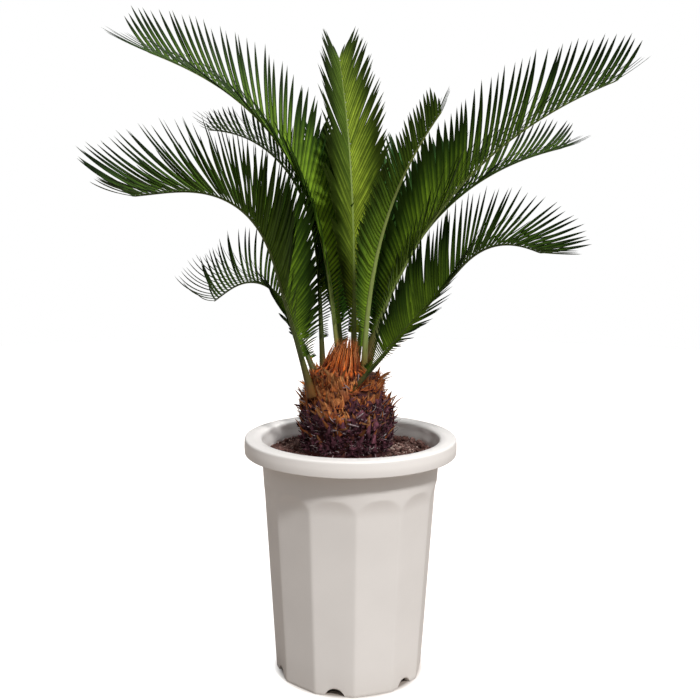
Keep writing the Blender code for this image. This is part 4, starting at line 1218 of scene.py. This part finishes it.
def add_foot_hairs(skin, draw, frond, spine, settings):
    """Fine hairs all round the lowest stretch of the midrib, shorter higher up."""
    count = settings.foot_hairs
    angle = draw.uniform(0, 2 * math.pi, count)
    reach = draw.uniform(0.0, 0.030, count)
    place, along, upper, side = at(spine, reach / frond.length)
    out = side * np.cos(angle)[:, None] + upper * np.sin(angle)[:, None]
    root = place + out * 0.0029
    length = draw.uniform(0.002, 0.0055, count)[:, None] * (1 - reach[:, None] / 0.045)
    tip = root + (along + out * 0.5 + draw.normal(0, 0.25, (count, 3))) * length
    path = bent_paths(root, (root + tip) / 2 + out * 0.0004, tip, 4)
    girth = (0.00010, 0.00024)
    strands(skin, draw, path, out[:, None], girth, (1, 0.9, 0.55, 0), HAIR_SECTION, 1, (0, 1), 2)


def make_frond(frond, settings, materials, seed):
    """One frond: its midrib, its two rows of leaflets and its woolly foot."""
    draw = np.random.default_rng(seed)
    skin = Skin()
    spine = midrib(frond)
    add_midrib(skin, frond, spine, settings)
    add_leaflets(skin, draw, frond, spine, settings)
    add_foot_hairs(skin, draw, frond, spine, settings)
    return skin.build(f"frond_{frond.name}_dressed", materials, 42)


# Stage


def make_floor(settings):
    """A round floor, as rings of a flat disc about the pot's foot. It looks white to the camera's
    own rays, and gives its pale colour back to all others. Its glow fades out in a ring at the
    pot's foot, a painted contact shadow."""
    disc = np.array([(0.01, -0.02), (FLOOR_REACH, -0.02), (FLOOR_REACH, 0.0), (0.01, 0.0)])
    skin = Skin()
    turned(skin, *all_round(disc, 96))
    made = Finish("floor_pale", 0.6, specular=0.2)
    colour = tuple(settings.floor)
    cloud = made.noise(made.position(), 3, 3)
    shades = made.ramp(cloud, [(0.3, tinted(colour, 0.985)), (0.7, colour)])
    made.shader.inputs["Emission Color"].default_value = (1.0, 1.0, 1.0, 1.0)
    reach = made.nodes.new("ShaderNodeVectorMath")
    reach.operation = "LENGTH"
    made.links.new(made.position(), reach.inputs[0])
    # Painted shadow: the glow fades to nothing in a ring at the pot's foot and under it.
    edge = (FOOT_RADIUS - 0.006, FOOT_RADIUS + 0.004)
    clear = made.span(reach.outputs["Value"], *edge, 0.0, settings.floor_lift)
    glow = made.math("MULTIPLY", made.add("LightPath", "Is Camera Ray"), clear)
    made.feed(made.shader.inputs["Emission Strength"], glow)
    return skin.build("floor", [made.finish(shades)], 30)


def soft_sun(name, back, strength, spread, colour):
    """A far light that shines from the way called back, spread over some degrees so that it is soft."""
    light = bpy.data.lights.new(name, "SUN")
    light.energy = strength
    light.angle = math.radians(spread)
    light.color = colour
    item = bpy.data.objects.new(name, light)
    back = unit(np.array(back))
    right = unit(np.cross(UP, back))
    above = np.cross(back, right)
    rows = [[right[k], above[k], back[k], 2 * back[k]] for k in range(3)]
    item.matrix_world = Matrix(rows + [[0, 0, 0, 1]])
    bpy.context.scene.collection.objects.link(item)
    return item


def make_camera():
    """The camera: in front of the pot, level with its fronds, looking slightly down."""
    data = bpy.data.cameras.new("camera")
    data.sensor_width = SENSOR_WIDTH
    data.lens = CAMERA_LENS
    item = bpy.data.objects.new("camera", data)
    pitch = Matrix.Rotation(math.radians(90 - CAMERA_PITCH), 4, "X")
    roll = Matrix.Rotation(math.radians(CAMERA_ROLL), 4, "Z")
    item.matrix_world = Matrix.Translation(CAMERA_PLACE) @ pitch @ roll
    bpy.context.scene.collection.objects.link(item)
    bpy.context.scene.camera = item


# Settings


def colour_setting(name, description, default):
    """A colour as red, green and blue."""
    return FloatVectorProperty(
        name=name, description=description, default=default, size=3, min=0, max=1, subtype="COLOR"
    )


def number_setting(name, description, default, low, high, kind=FloatProperty, **more):
    """A number held between two ends."""
    return kind(name=name, description=description, default=default, min=low, max=high, **more)


class PotSettings(bpy.types.PropertyGroup):
    plastic: colour_setting("Plastic", "Colour of the pot's plastic", (0.76, 0.735, 0.715))
    roughness: number_setting("Roughness", "How dull the plastic is", 0.34, 0.06, 0.9, subtype="FACTOR")
    edge_softness: number_setting(
        "Edge softness",
        "Rounding of the edges between the flats, as a share of the radius",
        0.0035, 0.0005, 0.02,
    )


class SoilSettings(bpy.types.PropertyGroup):
    soil: colour_setting("Soil", "Colour of the dark grains", (0.185, 0.105, 0.090))
    grit: colour_setting("Grit", "Colour of the palest grains", (0.60, 0.47, 0.40))


class TrunkSettings(bpy.types.PropertyGroup):
    wool_colour: colour_setting("Wool", "Colour of the wool on the upper leaf bases", (0.84, 0.190, 0.040))
    husk_colour: colour_setting("Husk", "Colour of the old dark leaf bases", (0.150, 0.052, 0.072))
    stub_colour: colour_setting("Stubs", "Colour of the dry stubs", (0.66, 0.37, 0.16))
    tuft_colour: colour_setting("Tuft", "Colour of the young leaf bases", (0.94, 0.175, 0.018))
    stubs: number_setting("Stubs", "Number of dry stubs", 95, 0, 200, IntProperty)
    wool: number_setting("Wool", "Number of hairs on the trunk", 1050, 0, 6000, IntProperty)
    tuft_hairs: number_setting("Tuft hairs", "Number of hairs on the tuft", 260, 0, 4000, IntProperty)


class FrondSettings(bpy.types.PropertyGroup):
    leaflet_girth: number_setting(
        "Leaflet girth", "Width of the leaflets, against each frond's own", 1.0, 0.3, 2
    )
    leaflet_thickness: number_setting(
        "Leaflet thickness", "Thickness of a full leaflet", 0.0009, 0.0004, 0.002, unit="LENGTH"
    )
    leaflet_curl: number_setting(
        "Leaflet curl", "How far the leaflets curve, against each frond's own curl", 1.0, 0, 3
    )
    leaflet_roll: number_setting(
        "Leaflet roll", "Turn of the leaflets about themselves, in degrees", 20, -60, 60
    )
    # Painted light: how much lighter the young frond's right row of leaflets is made.
    painted_light_side: number_setting(
        "Bright side", "How much lighter the young frond's right side is", 0.40, 0, 0.5
    )
    age_shade: number_setting("Age shade", "How much darker the fronds that bend over are", 0.28, 0, 0.5)
    rib_girth: number_setting("Midrib girth", "Thickness of the midribs against the solid's", 1.0, 0.5, 1.5)
    foot_hairs: number_setting("Foot hairs", "Number of hairs at each frond's foot", 130, 0, 400, IntProperty)
    leaf: colour_setting("Leaf", "Colour of the older leaflets", (0.029, 0.066, 0.008))
    leaf_bright: colour_setting("Bright leaf", "Colour of the brighter leaflets", (0.125, 0.220, 0.020))
    young: colour_setting("Young leaf", "Colour of the young frond's leaflets", (0.068, 0.114, 0.014))
    young_bright: colour_setting(
        "Bright young leaf", "Colour of the young frond's brighter leaflets", (0.25, 0.35, 0.046)
    )
    emerald: colour_setting(
        "Emerald", "Colour of the leaflets of the inner fronds behind", (0.060, 0.165, 0.032)
    )
    rib: colour_setting("Midrib", "Colour of the midribs", (0.175, 0.225, 0.065))


class StageSettings(bpy.types.PropertyGroup):
    floor: colour_setting("Floor", "Colour of the floor", (0.34, 0.295, 0.26))
    floor_lift: number_setting("Floor lift", "Light that the floor adds to its own look", 0.97, 0, 1)
    shade: number_setting("Left shade", "Brightness of the surroundings low on the left", 0.06, 0, 4)
    key: number_setting("Key light", "Strength of the main light", 2.6, 0, 20)
    back: number_setting("Back light", "Strength of the light behind", 0.7, 0, 20)
    sky: number_setting("Sky", "Brightness of the white surroundings", 1.0, 0, 4)


class SagoPalmSettings(bpy.types.PropertyGroup):
    pot: PointerProperty(type=PotSettings)
    soil: PointerProperty(type=SoilSettings)
    trunk: PointerProperty(type=TrunkSettings)
    frond: PointerProperty(type=FrondSettings)
    stage: PointerProperty(type=StageSettings)


# Operators


def hand_over(piece, node):
    """The piece rides on the fixed model's root and stands in for its node, which is hidden."""
    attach(piece, "root")
    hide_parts(node)


class SAGO_OT_pot(bpy.types.Operator):
    """Build the pot with soft edges, arched flats, rim and drained foot"""

    bl_idname = "sago.pot"
    bl_label = "Make Pot"

    def execute(self, context):
        hand_over(make_pot(context.scene.sago_palm.pot), "pot")
        return {"FINISHED"}


class SAGO_OT_soil(bpy.types.Operator):
    """Build the soil with crumbs, clods and bits of fibre"""

    bl_idname = "sago.soil"
    bl_label = "Make Soil"

    def execute(self, context):
        hand_over(make_soil(context.scene.sago_palm.soil), "soil")
        return {"FINISHED"}


class SAGO_OT_trunk(bpy.types.Operator):
    """Build the trunk and the woolly tuft at its crown"""

    bl_idname = "sago.trunk"
    bl_label = "Make Trunk"

    def execute(self, context):
        settings = context.scene.sago_palm.trunk
        spines = {frond.name: midrib(frond) for frond in FRONDS}
        hand_over(make_trunk(settings, spines), "trunk")
        hand_over(make_tuft(settings, spines), "crown_tuft")
        return {"FINISHED"}


class SAGO_OT_fronds(bpy.types.Operator):
    """Build every frond with its leaflets, prickles and woolly foot"""

    bl_idname = "sago.fronds"
    bl_label = "Make Fronds"

    def execute(self, context):
        settings = context.scene.sago_palm.frond
        wool = tuple(context.scene.sago_palm.trunk.wool_colour)
        colours = ("leaf", "leaf_bright", "young", "young_bright", "rib", "emerald")
        leaf, bright, young, young_bright, rib, emerald = (tuple(getattr(settings, name)) for name in colours)
        hair = hair_fibre("frond_foot_hair", tinted(wool, 0.5), tinted(wool, 1.5))
        old = [
            leaf_green("leaflet_green", leaf, bright, mix_colour(leaf, bright, 0.35), tinted(bright, 1.1)),
            rib_green("midrib_olive", wool, rib, mix_colour(tinted(rib, 1.5), bright, 0.35)),
            hair,
        ]
        below = mix_colour(young, rib, 0.4)
        fresh = [
            leaf_green("leaflet_young", young, young_bright, below, tinted(young_bright, 1.1)),
            rib_green("midrib_young", wool, tinted(rib, 1.2), mix_colour(rib, young_bright, 0.6)),
            hair,
        ]
        below = mix_colour(emerald, rib, 0.3)
        inner = [
            leaf_green("leaflet_emerald", emerald, tinted(emerald, 1.7), below, tinted(emerald, 1.9)),
            old[1],
            hair,
        ]
        # Painted light: lighter copies of the leaflet and midrib finishes for the right-centre and upper-left
        # fronds.
        below = mix_colour(leaf, bright, 0.5)
        lit_leaf = (tinted(leaf, 1.5), tinted(bright, 1.3), below, tinted(bright, 1.35))
        sunny = leaf_green("leaflet_sunny", *lit_leaf)
        pale = [sunny, rib_green("midrib_pale", wool, tinted(rib, 1.8), tinted(rib, 2.0)), hair]
        lit = [sunny, rib_green("midrib_bright", wool, tinted(rib, 1.8), tinted(rib, 3.2)), hair]
        kinds = {"centre": fresh, "right_centre": pale, "upper_left": lit}
        kinds.update({f"back_{number}": inner for number in (1, 2, 3)})
        for number, frond in enumerate(FRONDS):
            kind = kinds.get(frond.name, old)
            piece = make_frond(frond, settings, kind, 100 + number)
            hand_over(piece, f"frond_{frond.name}")
        return {"FINISHED"}


class SAGO_OT_stage(bpy.types.Operator):
    """Set the pale floor, the soft lights and the camera"""

    bl_idname = "sago.stage"
    bl_label = "Set Stage"

    def execute(self, context):
        settings = context.scene.sago_palm.stage
        make_floor(settings)
        soft_sun("key_light", KEY_FROM, settings.key, KEY_SPREAD, (1.0, 0.99, 0.975))
        soft_sun("back_light", BACK_FROM, settings.back, BACK_SPREAD, (1.0, 1.0, 1.0))
        world = bpy.data.worlds.new("white_room")
        made = Nodes(world)
        way = made.parts(made.add("TexCoord", "Generated"))
        tilt = made.math("MULTIPLY_ADD", way[0], SHADE_LEAN, way[2])
        sweep = made.span(tilt, *SHADE_HEIGHTS, settings.shade, settings.sky)
        seen = made.add("LightPath", "Is Camera Ray")
        background = made.nodes["Background"]
        background.inputs["Color"].default_value = (1.0, 1.0, 1.0, 1.0)
        made.feed(background.inputs["Strength"], made.span(seen, 0.0, 1.0, sweep, 1.0))
        context.scene.world = world
        context.scene.view_settings.view_transform = "Standard"
        make_camera()
        return {"FINISHED"}


class SAGO_PT_panel(bpy.types.Panel):
    """Lists the settings and the steps"""

    bl_idname = "SAGO_PT_panel"
    bl_label = "Sago Palm"
    bl_space_type = "VIEW_3D"
    bl_region_type = "UI"
    bl_category = "Sago Palm"

    def draw(self, context):
        settings = context.scene.sago_palm
        steps = (SAGO_OT_pot, SAGO_OT_soil, SAGO_OT_trunk, SAGO_OT_fronds, SAGO_OT_stage)
        for name, step in zip(("pot", "soil", "trunk", "frond", "stage"), steps):
            box = self.layout.box()
            group = getattr(settings, name)
            for key in group.__annotations__:
                box.prop(group, key)
            box.operator(step.bl_idname)


CLASSES = (
    PotSettings,
    SoilSettings,
    TrunkSettings,
    FrondSettings,
    StageSettings,
    SagoPalmSettings,
    SAGO_OT_pot,
    SAGO_OT_soil,
    SAGO_OT_trunk,
    SAGO_OT_fronds,
    SAGO_OT_stage,
    SAGO_PT_panel,
)


def register():
    for item in CLASSES:
        bpy.utils.register_class(item)
    bpy.types.Scene.sago_palm = PointerProperty(type=SagoPalmSettings)


def unregister():
    del bpy.types.Scene.sago_palm
    for item in reversed(CLASSES):
        bpy.utils.unregister_class(item)


def main():
    register()
    bpy.ops.sago.stage()
    bpy.ops.sago.pot()
    bpy.ops.sago.soil()
    bpy.ops.sago.trunk()
    bpy.ops.sago.fronds()


if __name__ == "__main__":
    main()
